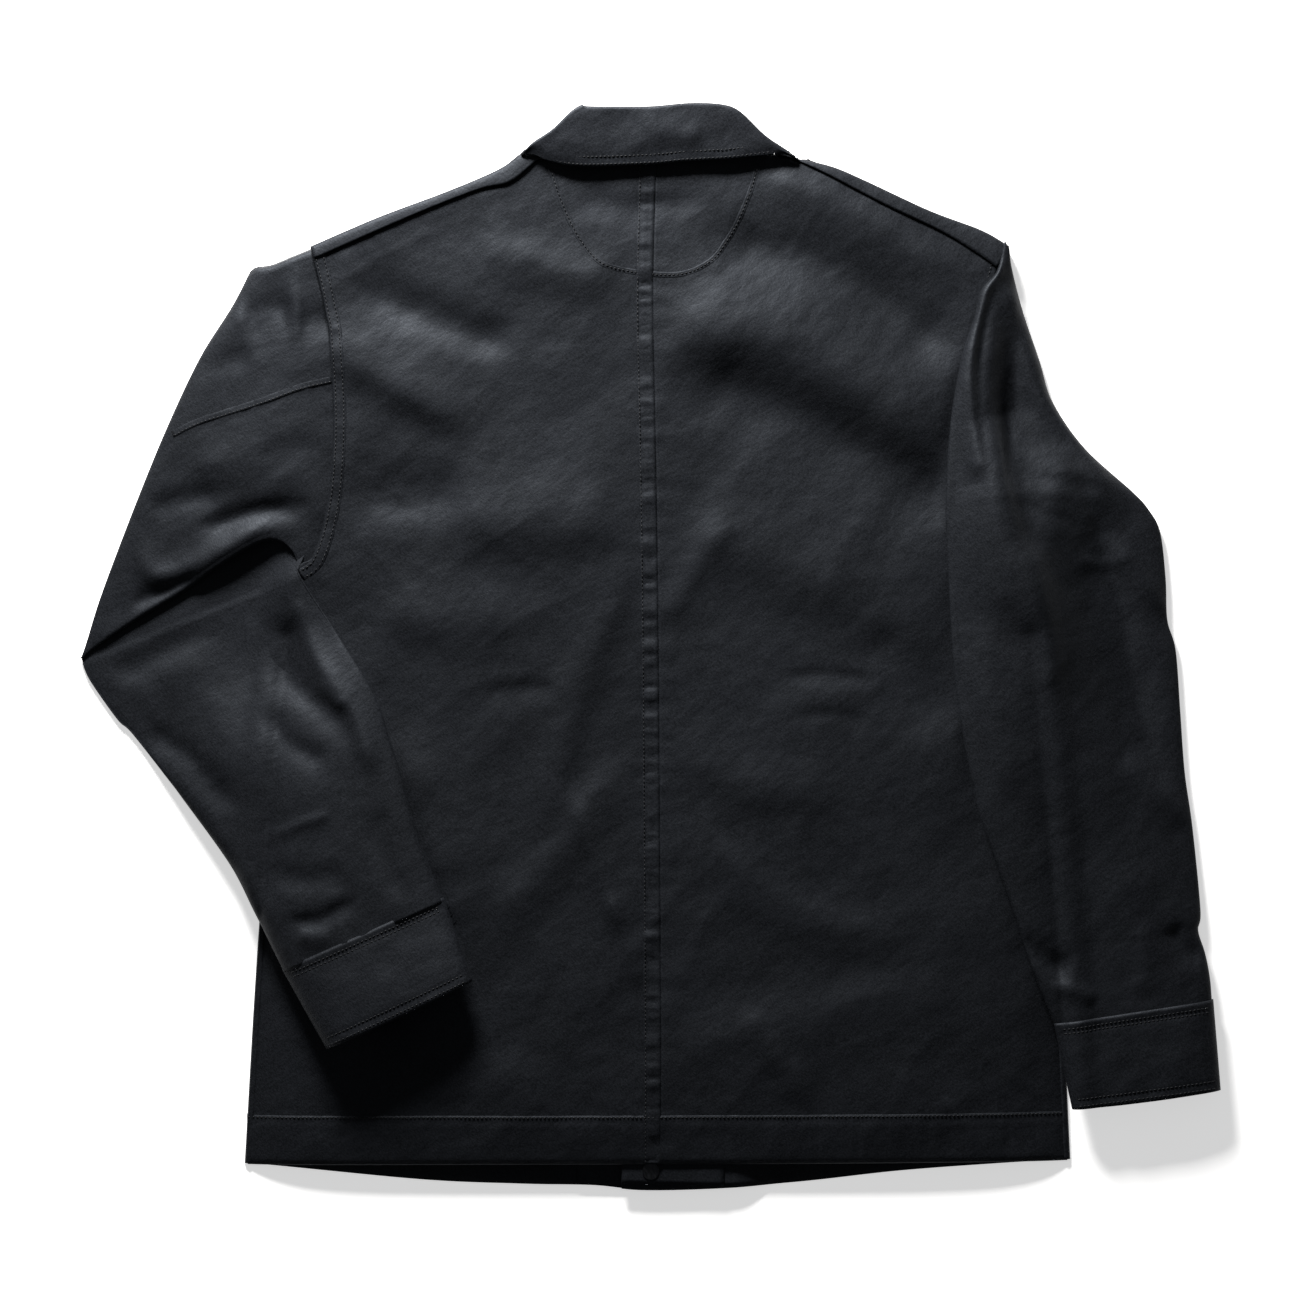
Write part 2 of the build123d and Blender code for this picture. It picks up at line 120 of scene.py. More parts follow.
half_moon = mm([(-71.3, 345.6), (-66.2, 329), (-57.6, 308.2), (-49, 293), (-37.4, 279.4),
                (-23.8, 273.6), (2.2, 269.6), (24.9, 270.2), (43.9, 279.4), (54.7, 293),
                (63.4, 308.2), (72, 329), (77, 345.6)])


# ---- numbers -------------------------------------------------------------------------
def smooth(points, count):
    """count points, evenly spaced, on a smooth curve through these."""
    points = np.asarray(points, float)
    if len(points) > 2:
        before = np.vstack([2 * points[0] - points[1], points[:-1]])[:-1]
        after = np.vstack([points[2:], 2 * points[-1] - points[-2]])
        a, b = points[:-1], points[1:]
        t = np.linspace(0, 1, 12, endpoint=False)[:, None, None]
        run = 0.5 * (2 * a + (b - before) * t + (2 * before - 5 * a + 4 * b - after) * t ** 2
                     + (3 * a - before - 3 * b + after) * t ** 3)
        points = np.vstack([run.transpose(1, 0, 2).reshape(-1, points.shape[1]), points[-1:]])
    steps = np.linalg.norm(np.diff(points, axis=0), axis=1)
    along = np.concatenate([[0], np.cumsum(steps)])
    want = np.linspace(0, along[-1], count)
    return np.column_stack([np.interp(want, along, points[:, k])
                            for k in range(points.shape[1])])


def length_of(points):
    return float(np.linalg.norm(np.diff(smooth(points, 200), axis=0), axis=1).sum())


def nearest(x, y, curve):
    """Distance from each (x, y) to a curve, how far along it (0 to 1), and which side."""
    shape = np.shape(x)
    p = np.column_stack([np.ravel(x), np.ravel(y)])
    best = np.full(len(p), 1e9)
    along = np.zeros(len(p))
    side = np.zeros(len(p))
    count = len(curve) - 1
    for index in range(count):
        a = curve[index]
        d = curve[index + 1] - a
        rel = p - a
        t = np.clip(rel @ d / max(d @ d, 1e-12), 0, 1)
        gap = np.hypot(rel[:, 0] - t * d[0], rel[:, 1] - t * d[1])
        closer = gap < best
        best[closer] = gap[closer]
        along[closer] = (index + t[closer]) / count
        side[closer] = np.sign(d[0] * rel[closer, 1] - d[1] * rel[closer, 0])
    return best.reshape(shape), along.reshape(shape), side.reshape(shape)


def step(t):
    """0 to 1 with soft ends."""
    t = np.clip(t, 0, 1)
    return t * t * (3 - 2 * t)


def noise(x, y, size, seed, angle=0.0, stretch=1.0):
    """Smooth noise, about -1 to 1, with bumps of this size, drawn out along angle."""
    c, s = math.cos(angle), math.sin(angle)
    u = (x * c + y * s) / (size * stretch) + 100.3
    v = (y * c - x * s) / size + 100.7
    turns = np.random.RandomState(seed).uniform(0, 2 * math.pi, 4096)
    ui, vi = np.floor(u).astype(int), np.floor(v).astype(int)
    uf, vf = u - ui, v - vi
    su, sv = step(uf), step(vf)
    total = 0
    for du, wu in ((0, 1 - su), (1, su)):
        for dv, wv in ((0, 1 - sv), (1, sv)):
            turn = turns[((ui + du) * 1619 + (vi + dv) * 31337) % 4096]
            total = total + wu * wv * (np.cos(turn) * (uf - du) + np.sin(turn) * (vf - dv))
    return total * 1.6


def crease(x, y, size, seed, angle=0.0, stretch=1.0, sharp=5.0):
    """Thin ridges where the noise passes through zero."""
    return np.exp(-sharp * np.abs(noise(x, y, size, seed, angle, stretch)))


def fold(x, y, path, height, width, back=None, ends=0.25):
    """A fold along path: height at its crest, dying out over width to the path's left and
    over back to its right, and towards its ends."""
    curve = smooth(mm(path), 26)
    gap, along, side = nearest(x, y, curve)
    reach = np.where(side > 0, width, width if back is None else back) * MM
    taper = step(np.minimum(along, 1 - along) / ends + 0.02)
    return height * MM * np.exp(-(gap / reach) ** 2) * taper


def folds(x, y, rows):
    total = np.zeros(np.shape(x))
    for row in rows:
        total = total + fold(x, y, *row)
    return total


# ---- how high the cloth lies -----------------------------------------------------------
torso_rim = np.vstack([smooth(side_l[::-1], 30), smooth(armhole_l[::-1], 24),
                       smooth(shoulder_l, 20), smooth(shoulder_r[::-1], 20),
                       smooth(armhole_r, 24), smooth(side_r, 30), smooth(hem_r[::-1], 8),
                       smooth(hem_l[::-1], 8)])
open_side_l = smooth(side_l[1:], 24)
open_side_r = smooth(side_r[1:], 24)

# each fold: its path, height, width to its left, width to its right, share spent dying out
BACK_FOLDS = [
    ([(-8, 230), (80, 224), (150, 192), (218, 128)], 8.0, 32, 28, 0.25),
    ([(36, 294), (110, 282), (165, 252), (224, 200)], -5.5, 18, 20, 0.2),
    ([(8, 205), (120, 160), (200, 112), (224, 80)], -5.5, 22, 28, 0.2),
    ([(70, 344), (150, 312), (225, 262)], 3.5, 12, 16, 0.2),
    ([(-244, 226), (-190, 194), (-120, 156)], 5.0, 24, 14, 0.3),
    ([(-218, 268), (-160, 240), (-92, 214)], -5.0, 16, 14),
    ([(-230, 122), (-180, 108), (-116, 122)], -4.6, 22, 16, 0.4),
    ([(-156, 100), (-80, 90), (-12, 98)], 4.6, 34, 24),
    ([(-132, 292), (-70, 274), (-18, 262)], 3.0, 14, 18),
    ([(-60, 330), (-20, 318), (40, 322)], -2.0, 10, 12),
    ([(20, 88), (90, 66), (160, 30)], 4.0, 34, 26),
    ([(150, 22), (190, -22), (222, -60)], -4.0, 22, 22),
    ([(-10, 70), (-52, -30), (-78, -150)], 3.4, 13, 20),
    ([(-58, -96), (-38, -150), (-18, -208)], 2.6, 6, 9),
    ([(-30, -170), (-14, -214), (-4, -252)], 1.8, 5, 7),
    ([(-124, -34), (-96, -27), (-62, -28)], -1.2, 5, 9),
    ([(92, -20), (128, -17), (164, -22)], -1.4, 4, 9),
    ([(100, -50), (128, -45), (160, -52)], -1.0, 4, 8),
    ([(60, 96), (34, 60), (10, 12)], 2.0, 9, 12),
    ([(-120, -200), (-70, -150), (-20, -78)], 2.4, 12, 18),
    ([(-190, -60), (-150, -120), (-140, -220)], 3.0, 22, 26),
    ([(-200, 40), (-150, 20), (-90, 34)], 3.0, 24, 20),
    ([(24, -120), (90, -180), (190, -215)], 2.4, 14, 22),
    ([(20, -300), (110, -262), (230, -240)], 2.6, 16, 26),
    ([(60, -250), (120, -330)], 1.8, 9, 12),
    ([(150, 60), (200, -40), (215, -150)], 2.4, 24, 20),
    ([(-240, -250), (-150, -300), (-60, -310)], 2.6, 20, 26),
    ([(14, -60), (70, -100), (150, -96)], 2.2, 20, 16),
]


def torso_base(x, y):
    """The back without its wrinkles: full in the middle, thin at its sides and hem."""
    to_side = np.minimum(nearest(x, y, open_side_l)[0], nearest(x, y, open_side_r)[0])
    to_hem = np.maximum(y + 0.369, 0)
    body = 2.6 + 12.0 * (1 - np.exp(-to_side / 0.030))
    body = body * (0.66 + 0.34 * (1 - np.exp(-to_hem / 0.05)))
    return body * MM


def under_sleeve(x, y):
    """1 where a sleeve lies on the back, so that no wrinkle comes up through it."""
    gap_r, _, side_of_r = nearest(x, y, smooth(inner_r, 50))
    gap_l, _, side_of_l = nearest(x, y, smooth(forearm_inner_l, 40))
    covered_r = step(0.5 + gap_r * side_of_r / 0.016)
    covered_l = step(0.5 - gap_l * side_of_l / 0.016) * step((0.062 - y) / 0.012)
    return np.maximum(covered_r, covered_l * step((y + 0.25) / 0.02))


def torso_top(x, y):
    """The back's top: its base, folds and wrinkles, and the puckers at the middle seam."""
    near_edge = step(np.minimum(nearest(x, y, open_side_l)[0],
                                nearest(x, y, open_side_r)[0]) / 0.03)
    fade = near_edge * step((y + 0.372) / 0.03) * (1 - under_sleeve(x, y))
    pull = np.abs(x - 0.004)
    wrinkles = 1.6 * noise(x, y, 0.105, 3, 0.9, 1.6) + 1.0 * noise(x, y, 0.048, 4, 0.7, 1.8)
    wrinkles += 0.45 * noise(x, y, 0.020, 5, 0.8, 1.6) + 0.17 * noise(x, y, 0.009, 6)
    fine = step((noise(x, y, 0.16, 8) + 0.25) * 1.6)
    wrinkles += fine * (0.55 * crease(x, y, 0.060, 9, 0.75, 2.6, 9)
                        + 0.40 * crease(x, y, 0.045, 10, 2.3, 2.6, 9))
    pucker = np.exp(-(pull / 0.016) ** 2) * noise(x * 0, y, 0.011, 12) * 0.55
    return torso_base(x, y) + fade * (folds(x, y, BACK_FOLDS) + wrinkles * MM) + pucker * MM


def sunk_top(x, y):
    """The back's top, pressed down a little where a sleeve lies on it."""
    return torso_top(x, y) - 2.2 * MM * under_sleeve(x, y)


def support(x, y):
    """What a sleeve lies on: the back where it is over the torso, and else the floor."""
    gap, _, side = nearest(x, y, torso_rim)
    inside = np.where(side < 0, gap, -gap)
    return torso_base(x, y) * step((inside + 0.026) / 0.027)


# ---- meshes ------------------------------------------------------------------------------
def make_object(name, points, faces, material):
    mesh = bpy.data.meshes.new(name)
    mesh.from_pydata([tuple(p) for p in points], [], [tuple(f) for f in faces])
    mesh.update()
    piece = bpy.data.objects.new(name, mesh)
    bpy.context.scene.collection.objects.link(piece)
    mesh.polygons.foreach_set("use_smooth", [True] * len(mesh.polygons))
    piece.data.materials.append(material)
    return piece


def grid_normals(grid, wrap=False):
    """Upward normals of a grid of points; wrap says that its columns close on themselves."""
    rows = np.gradient(grid, axis=0)
    if wrap:
        columns = (np.roll(grid, -1, axis=1) - np.roll(grid, 1, axis=1)) / 2
    else:
        columns = np.gradient(grid, axis=1)
    normal = np.cross(columns, rows)
    size = np.linalg.norm(normal, axis=2, keepdims=True)
    return normal / np.maximum(size, 1e-12)


def quads(rows, columns, start=0, wrap=False, turn=False):
    r, c = np.meshgrid(np.arange(rows - 1), np.arange(columns if wrap else columns - 1),
                       indexing="ij")
    nxt = (c + 1) % columns
    a, b = start + r * columns + c, start + r * columns + nxt
    d, e = start + (r + 1) * columns + nxt, start + (r + 1) * columns + c
    order = [a, e, d, b] if turn else [a, b, d, e]
    return np.stack([o.ravel() for o in order], axis=1)


def cloth_piece(name, grid, material, thickness=CLOTH, wrap=False, face_up=True):
    """A closed piece of cloth: the grid is its outer face, its inner face is thickness in."""
    rows, columns = grid.shape[:2]
    normal = grid_normals(grid, wrap)
    if face_up and not wrap and normal[..., 2].mean() < 0:
        normal = -normal
        turn = True
    else:
        turn = False
    inner = grid - normal * thickness
    count = rows * columns
    faces = [quads(rows, columns, 0, wrap, turn), quads(rows, columns, count, wrap, not turn)]
    index = np.arange(count).reshape(rows, columns)
    rims = [(index[0], False), (index[-1], True)]
    if not wrap:
        rims += [(index[:, 0], True), (index[:, -1], False)]
    for rim, other in rims:
        if wrap:
            rim = np.append(rim, rim[0])
        a, b = rim[:-1], rim[1:]
        order = [a, b, b + count, a + count]
        if other == turn:
            order = order[::-1]
        faces.append(np.stack(order, axis=1))
    points = np.vstack([grid.reshape(-1, 3), inner.reshape(-1, 3)])
    return make_object(name, points, np.vstack(faces).tolist(), material)


def at(path, places):
    """Points on a curve at these fractions of its length."""
    line = smooth(path, 600)
    run = np.linspace(0, 1, len(line))
    return np.column_stack([np.interp(places, run, line[:, k]) for k in range(2)])


def patch(bottom, top, left, right, rows, columns):
    """A grid in plan between four lines: left and right run upwards, bottom and top across.
    rows and columns are counts, or the fractions at which the lines are sampled."""
    u = np.linspace(0, 1, columns) if isinstance(columns, int) else columns
    v = np.linspace(0, 1, rows) if isinstance(rows, int) else rows
    low, high, west, east = at(bottom, u), at(top, u), at(left, v), at(right, v)
    u, v = u[None, :, None], v[:, None, None]
    ruled = (1 - v) * low[None] + v * high[None] + (1 - u) * west[:, None] + u * east[:, None]
    corners = ((1 - u) * (1 - v) * bottom[0] + u * (1 - v) * bottom[-1]
               + (1 - u) * v * top[0] + u * v * top[-1])
    return ruled - corners


def row_share(rows):
    """0 at a grid's first row to 1 at its last, as a column."""
    return np.linspace(0, 1, rows)[:, None]


def lifted(plan, height):
    """The plan's grid with the height that this function gives at each point."""
    return np.dstack([plan, height(plan[..., 0], plan[..., 1])])


def strip(name, path, across, height, material, rise, puckers=0.0, seed=1, thickness=CLOTH,
          spacing=2.0 * MM):
    """Cloth along a seam: across gives its width's two sides, rise its profile over it."""
    count = max(8, int(length_of(path) / spacing))
    line = smooth(path, count)
    tangent = np.gradient(line, axis=0)
    tangent /= np.linalg.norm(tangent, axis=1, keepdims=True)
    sideways = np.column_stack([-tangent[:, 1], tangent[:, 0]])
    offsets = np.linspace(across[0], across[1], len(rise)) * MM
    plan = line[:, None] + sideways[:, None] * offsets[None, :, None]
    grid = lifted(plan, height)
    grid[..., 2] += np.array(rise)[None] * MM
    if puckers:
        run = np.arange(count) * spacing
        gathers = noise(run, run * 0, 0.0085, seed) + 0.5 * noise(run, run * 0, 0.004, seed + 1)
        weight = np.sin(np.linspace(0, math.pi, len(rise)))
        grid[..., 2] += puckers * MM * gathers[:, None] * weight[None]
    return cloth_piece(name, grid, material, thickness)


STITCH_SIDES = 5
BEAD = mm([(-1.15, 0.08, -0.16), (-0.64, 0.29, 0.03), (0.0, 0.32, 0.11), (0.64, 0.29, 0.03),
           (1.15, 0.08, -0.16)])     # along, radius and height of a stitch's rings


def stitches(name, rows, height, material, pitch=STITCH_PITCH, lift=0.12 * MM):
    """Rows of single stitches, each a short bead of thread that dips into the cloth at its
    ends. rows holds (path, offset) pairs; an offset is in mm to the path's left."""
    dice = np.random.RandomState(len(name))
    middles, forwards, lefts = [], [], []
    for path, offset in rows:
        count = max(2, int(length_of(path) / pitch))
        line = smooth(path, count * 2 + 1)
        tangent = np.gradient(line, axis=0)
        tangent /= np.linalg.norm(tangent, axis=1, keepdims=True)
        side = np.column_stack([-tangent[:, 1], tangent[:, 0]])
        line = line + side * offset * MM
        middles.append(line[1::2])
        forwards.append(tangent[1::2] + side[1::2] * dice.normal(0, 0.05, (count, 1)))
        lefts.append(side[1::2])
    middle, forward, left = (np.vstack(group) for group in (middles, forwards, lefts))
    rings = len(BEAD)
    spots = middle[:, None] + forward[:, None] * BEAD[None, :, 0:1]
    ground = height(spots[..., 0], spots[..., 1]) + lift + BEAD[None, :, 2]
    turn = 2 * math.pi * np.arange(STITCH_SIDES) / STITCH_SIDES
    radius = BEAD[None, :, 1, None]
    out = np.cos(turn)[None, None] * radius * 1.25
    points = np.empty((len(middle), rings, STITCH_SIDES, 3))
    points[..., 0] = spots[..., None, 0] + left[:, None, None, 0] * out
    points[..., 1] = spots[..., None, 1] + left[:, None, None, 1] * out
    points[..., 2] = ground[..., None] + np.sin(turn)[None, None] * radius
    one = quads(rings, STITCH_SIDES, 0, True)
    size = rings * STITCH_SIDES
    faces = (one[None] + np.arange(len(middle))[:, None, None] * size).reshape(-1, 4).tolist()
    for base in range(0, len(middle) * size, size):
        faces.append([base + k for k in reversed(range(STITCH_SIDES))])
        faces.append([base + size - STITCH_SIDES + k for k in range(STITCH_SIDES)])
    return make_object(name, points.reshape(-1, 3), faces, material)


# ---- materials ---------------------------------------------------------------------------
def material(name):
    made = bpy.data.materials.new(name)
    made.use_nodes = True
    nodes, links = made.node_tree.nodes, made.node_tree.links
    shader = nodes["Principled BSDF"]
    place = nodes.new("ShaderNodeTexCoord").outputs["Object"]
    return made, nodes, links, shader, place


def mapped(nodes, links, place, scale, angle=0.0):
    mapping = nodes.new("ShaderNodeMapping")
    mapping.vector_type = "TEXTURE"
    mapping.inputs["Rotation"].default_value = (0, 0, angle)
    mapping.inputs["Scale"].default_value = [1 / part for part in scale]
    links.new(place, mapping.inputs["Vector"])
    return mapping.outputs["Vector"]


def noise_node(nodes, links, vector, scale, detail=3.0, rough=0.55):
    texture = nodes.new("ShaderNodeTexNoise")
    texture.inputs["Scale"].default_value = scale
    texture.inputs["Detail"].default_value = detail
    texture.inputs["Roughness"].default_value = rough
    links.new(vector, texture.inputs["Vector"])
    return texture.outputs["Fac"]


def ramp(nodes, links, value, low, high, first, last):
    node = nodes.new("ShaderNodeMapRange")
    for key, number in (("From Min", low), ("From Max", high), ("To Min", first),
                        ("To Max", last)):
        node.inputs[key].default_value = number
    links.new(value, node.inputs["Value"])
    return node.outputs["Result"]


def between(nodes, links, shader, share, dark, light):
    """Colour the cloth or metal from dark to light, as share runs from 0 to 1."""
    colour = nodes.new("ShaderNodeMix")
    colour.data_type = "RGBA"
    links.new(share, colour.inputs["Factor"])
    colour.inputs[6].default_value = (*dark, 1)
    colour.inputs[7].default_value = (*light, 1)
    links.new(colour.outputs[2], shader.inputs["Base Color"])


def maths(nodes, links, kind, a, b):
    node = nodes.new("ShaderNodeMath")
    node.operation = kind
    for socket, value in zip(node.inputs, (a, b)):
        if isinstance(value, (int, float)):
            socket.default_value = value
        else:
            links.new(value, socket)
    return node.outputs["Value"]


def bump(nodes, links, shader, layers):
    """Stack bumps; each layer is (height, strength, distance in metres)."""
    normal = None
    for height, strength, distance in layers:
        node = nodes.new("ShaderNodeBump")
        node.inputs["Strength"].default_value = strength
        node.inputs["Distance"].default_value = distance
        links.new(height, node.inputs["Height"])
        if normal is not None:
            links.new(normal, node.inputs["Normal"])
        normal = node.outputs["Normal"]
    links.new(normal, shader.inputs["Normal"])


def twill(name, dark, light, gloss=0.0, weave=1.0):
    """Black sateen: a fine diagonal grain, a soft uneven bloom and small crushed creases."""
    made, nodes, links, shader, place = material(name)
    diagonal = mapped(nodes, links, place, (640, 1050, 640), math.radians(-52))
    grain = noise_node(nodes, links, diagonal, 1.0, 2.0)
    slub = noise_node(nodes, links, mapped(nodes, links, place, (300, 620, 300),
                                           math.radians(-52)), 1.0, 3.0)
    cloud = noise_node(nodes, links, place, 16.0, 5.0, 0.62)
    blotch = noise_node(nodes, links, place, 75.0, 4.0, 0.6)
    crush = noise_node(nodes, links, mapped(nodes, links, place, (1, 1.7, 1), 0.6), 55.0, 6.0,
                       0.62)
    worn = maths(nodes, links, "ADD", ramp(nodes, links, cloud, 0.33, 0.68, 0.0, 0.45),
                 ramp(nodes, links, blotch, 0.3, 0.7, 0.0, 0.25))
    worn = maths(nodes, links, "ADD", worn, ramp(nodes, links, grain, 0.3, 0.7, -0.45, 0.85))
    between(nodes, links, shader, worn, dark, light)
    rough = maths(nodes, links, "ADD", ramp(nodes, links, cloud, 0.3, 0.7, 0.62 - gloss,
                                            0.54 - gloss),
                  ramp(nodes, links, slub, 0.3, 0.7, 0.06, -0.04))
    links.new(rough, shader.inputs["Roughness"])
    shader.inputs["Specular IOR Level"].default_value = 0.17
    shader.inputs["Specular Tint"].default_value = (0.80, 0.88, 1.0, 1)
    shader.inputs["Sheen Weight"].default_value = 0.004
    shader.inputs["Sheen Roughness"].default_value = 0.45
    shader.inputs["Sheen Tint"].default_value = (0.75, 0.85, 1.0, 1)
    bump(nodes, links, shader, [(crush, 0.40, 0.0018), (slub, 0.40 * weave, 0.00028),
                                (grain, 0.60 * weave, 0.00020)])
    return made


def thread_material():
    made, nodes, links, shader, place = material("black_thread")
    plies = noise_node(nodes, links, mapped(nodes, links, place, (2600, 2600, 2600), 0.8), 1.0)
    between(nodes, links, shader, plies, (0.0030, 0.0033, 0.0040), (0.0110, 0.0120, 0.0140))
    shader.inputs["Roughness"].default_value = 0.50
    shader.inputs["Specular IOR Level"].default_value = 0.16
    bump(nodes, links, shader, [(plies, 0.5, 0.0001)])
    return made


def snap_material():
    made, nodes, links, shader, place = material("blackened_steel")
    scuff = noise_node(nodes, links, mapped(nodes, links, place, (900, 240, 500), 0.4), 1.0, 5.0)
    between(nodes, links, shader, scuff, (0.010, 0.011, 0.013), (0.050, 0.052, 0.058))
    links.new(ramp(nodes, links, scuff, 0.3, 0.7, 0.28, 0.48), shader.inputs["Roughness"])
    shader.inputs["Metallic"].default_value = 1.0
    bump(nodes, links, shader, [(scuff, 0.15, 0.0002)])
    return made


shell = twill("shell_twill", (0.0012, 0.0014, 0.0019), (0.0062, 0.0069, 0.0087))
doubled = twill("doubled_twill", (0.0012, 0.0014, 0.0019), (0.0064, 0.0071, 0.0089), 0.02, 1.1)
tape = twill("woven_tape", (0.012, 0.012, 0.014), (0.035, 0.035, 0.040), -0.1, 1.4)
thread = thread_material()
snap_steel = snap_material()
for node_name in ("front_snap_caps", "front_snap_sockets", "front_snap_studs",
                  "front_snap_posts", "left_cuff_snap", "right_cuff_snap"):
    for material_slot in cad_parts[node_name].material_slots:
        material_slot.material = snap_steel


def dressed(piece, body, replaces=()):
    """Put a finished piece on its body and hide the imported parts that it replaces."""
    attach(piece, body)
    if replaces:
        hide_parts(*replaces)
    return piece


# ---- torso -------------------------------------------------------------------------------
def back_panels():
    left_edge = np.vstack([side_l[::-1], armhole_l[-2:0:-1], shoulder_seam_l[:1]])
    right_edge = np.vstack([side_r[::-1], armhole_r[-2:0:-1], shoulder_seam_r[:1]])
    top_left = np.vstack([shoulder_seam_l, neck_l[1:]])
    top_right = np.vstack([neck_r, shoulder_seam_r[-2::-1]])
    left = patch(hem_l, top_left, left_edge, centre_back, 262, 112)
    right = patch(hem_r, top_right, centre_back, right_edge, 262, 112)
    for name, plan in (("left", left), ("right", right)):
        piece = cloth_piece(f"back_{name}", lifted(plan, torso_top), shell)
        dressed(piece, "torso", replaces=[f"back_panel_{name}"])


def shoulder_roll(name, outline, seam, nodes):
    """The front's cloth, which rolls over the shoulder line and is sewn down on the back."""
    count = int(length_of(outline) / (2.5 * MM))
    rim, sewn = smooth(outline, count), smooth(seam, count)
    angle = np.linspace(0, math.pi, 22)
    top = torso_top(sewn[:, 0], sewn[:, 1]) + 0.9 * MM
    middle = (top + 0.8 * MM) / 2
    plan = sewn[:, None] + (rim - sewn)[:, None] * np.sin(angle)[None, :, None]
    bend = np.sign(np.cos(angle)) * np.abs(np.cos(angle)) ** 0.26
    height = middle[:, None] + (top - middle)[:, None] * bend[None]
    grid = np.dstack([plan, height])
    piece = cloth_piece(name, grid, shell)
    dressed(piece, "torso", replaces=nodes)
    run = np.linspace(0, 1, count)

    def on_top(x, y):
        gap, along, _ = nearest(x, y, sewn)
        wide = np.interp(along, run, np.linalg.norm(rim - sewn, axis=1))
        return (np.interp(along, run, middle) + np.interp(along, run, top - middle)
                * np.clip(1 - (gap / np.maximum(wide, MM)) ** 2, 0, 1) ** 0.18)

    return on_top


def flat_front(name, plan, height, replaces):
    piece = cloth_piece(name, lifted(plan, height), shell)
    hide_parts(*replaces)
    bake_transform(piece)


LEFT_EDGE, RIGHT_EDGE = 22.0 * MM, -21.2 * MM
front_neck_l = mm([(-90.9, 352), (-74, 320), (-35, 290), (22, 272)])
front_neck_r = mm([(-21.2, 272), (46, 290), (84, 320), (105.8, 350)])


def left_front_height(x, y):
    ripple = 0.25 * noise(x, y, 0.05, 21) * MM
    return 1.0 * MM + 1.9 * MM * step((x + 0.100) / 0.030) + ripple * step(-(x + 0.1) / 0.02)


def right_front_height(x, y):
    ripple = 0.25 * noise(x, y, 0.05, 22) * MM
    return 1.0 * MM + 5.9 * MM * step((0.098 - x) / 0.040) + ripple * step((x - 0.1) / 0.02)


def fronts():
    """Both fronts with their facings and neckbands, under the back."""
    hem = smooth(front_hem, 400)
    left_hem = hem[hem[:, 0] < LEFT_EDGE]
    right_hem = hem[hem[:, 0] > RIGHT_EDGE]
    left_rim = np.vstack([side_l[::-1], armhole_l[-2::-1]])
    right_rim = np.vstack([side_r[::-1], armhole_r[-2::-1]])
    left = patch(left_hem, np.vstack([shoulder_l[:-1], front_neck_l]), left_rim,
                 np.array([left_hem[-1], front_neck_l[-1]]), 150, 110)
    right = patch(right_hem, np.vstack([front_neck_r[:-1], shoulder_r[::-1]]),
                  np.array([right_hem[0], front_neck_r[0]]), right_rim, 150, 110)
    flat_front("front_left", left, left_front_height,
               ["front_side_left", "front_left_flap"])
    flat_front("front_right", right, right_front_height,
               ["front_side_right", "front_right_flap"])
    for side, low_x, high_x, top_low, top_high, height in (
            ("left", -0.0526, LEFT_EDGE - MM, 0.270, 0.254, 3.9 * MM),
            ("right", RIGHT_EDGE + MM, 0.0533, 0.254, 0.270, 7.9 * MM)):
        bottom = np.array([(low_x, -0.3845), (high_x, -0.3862)])
        top = np.array([(low_x, top_low), (high_x, top_high)])
        plan = patch(bottom, top, np.array([bottom[0], top[0]]),
                     np.array([bottom[1], top[1]]), 160, 20)
        piece = cloth_piece(f"{side}_facing", lifted(plan, lambda x, y, h=height: x * 0 + h),
                            shell)
        dressed(piece, f"{side}_front", replaces=[f"front_{side}_facing"])
    for side, line, ground in (("left", front_neck_l, left_front_height),
                               ("right", front_neck_r[::-1], right_front_height)):
        band = strip(f"neckband_{side}", line[:3], (-14, 0) if side == "left" else (0, 14),
                     ground, doubled, [0.9, 1.5, 1.6, 1.6, 1.5, 0.9], 0.2, 31)
        dressed(band, f"{side}_front", [f"neckband_front_{side}"])


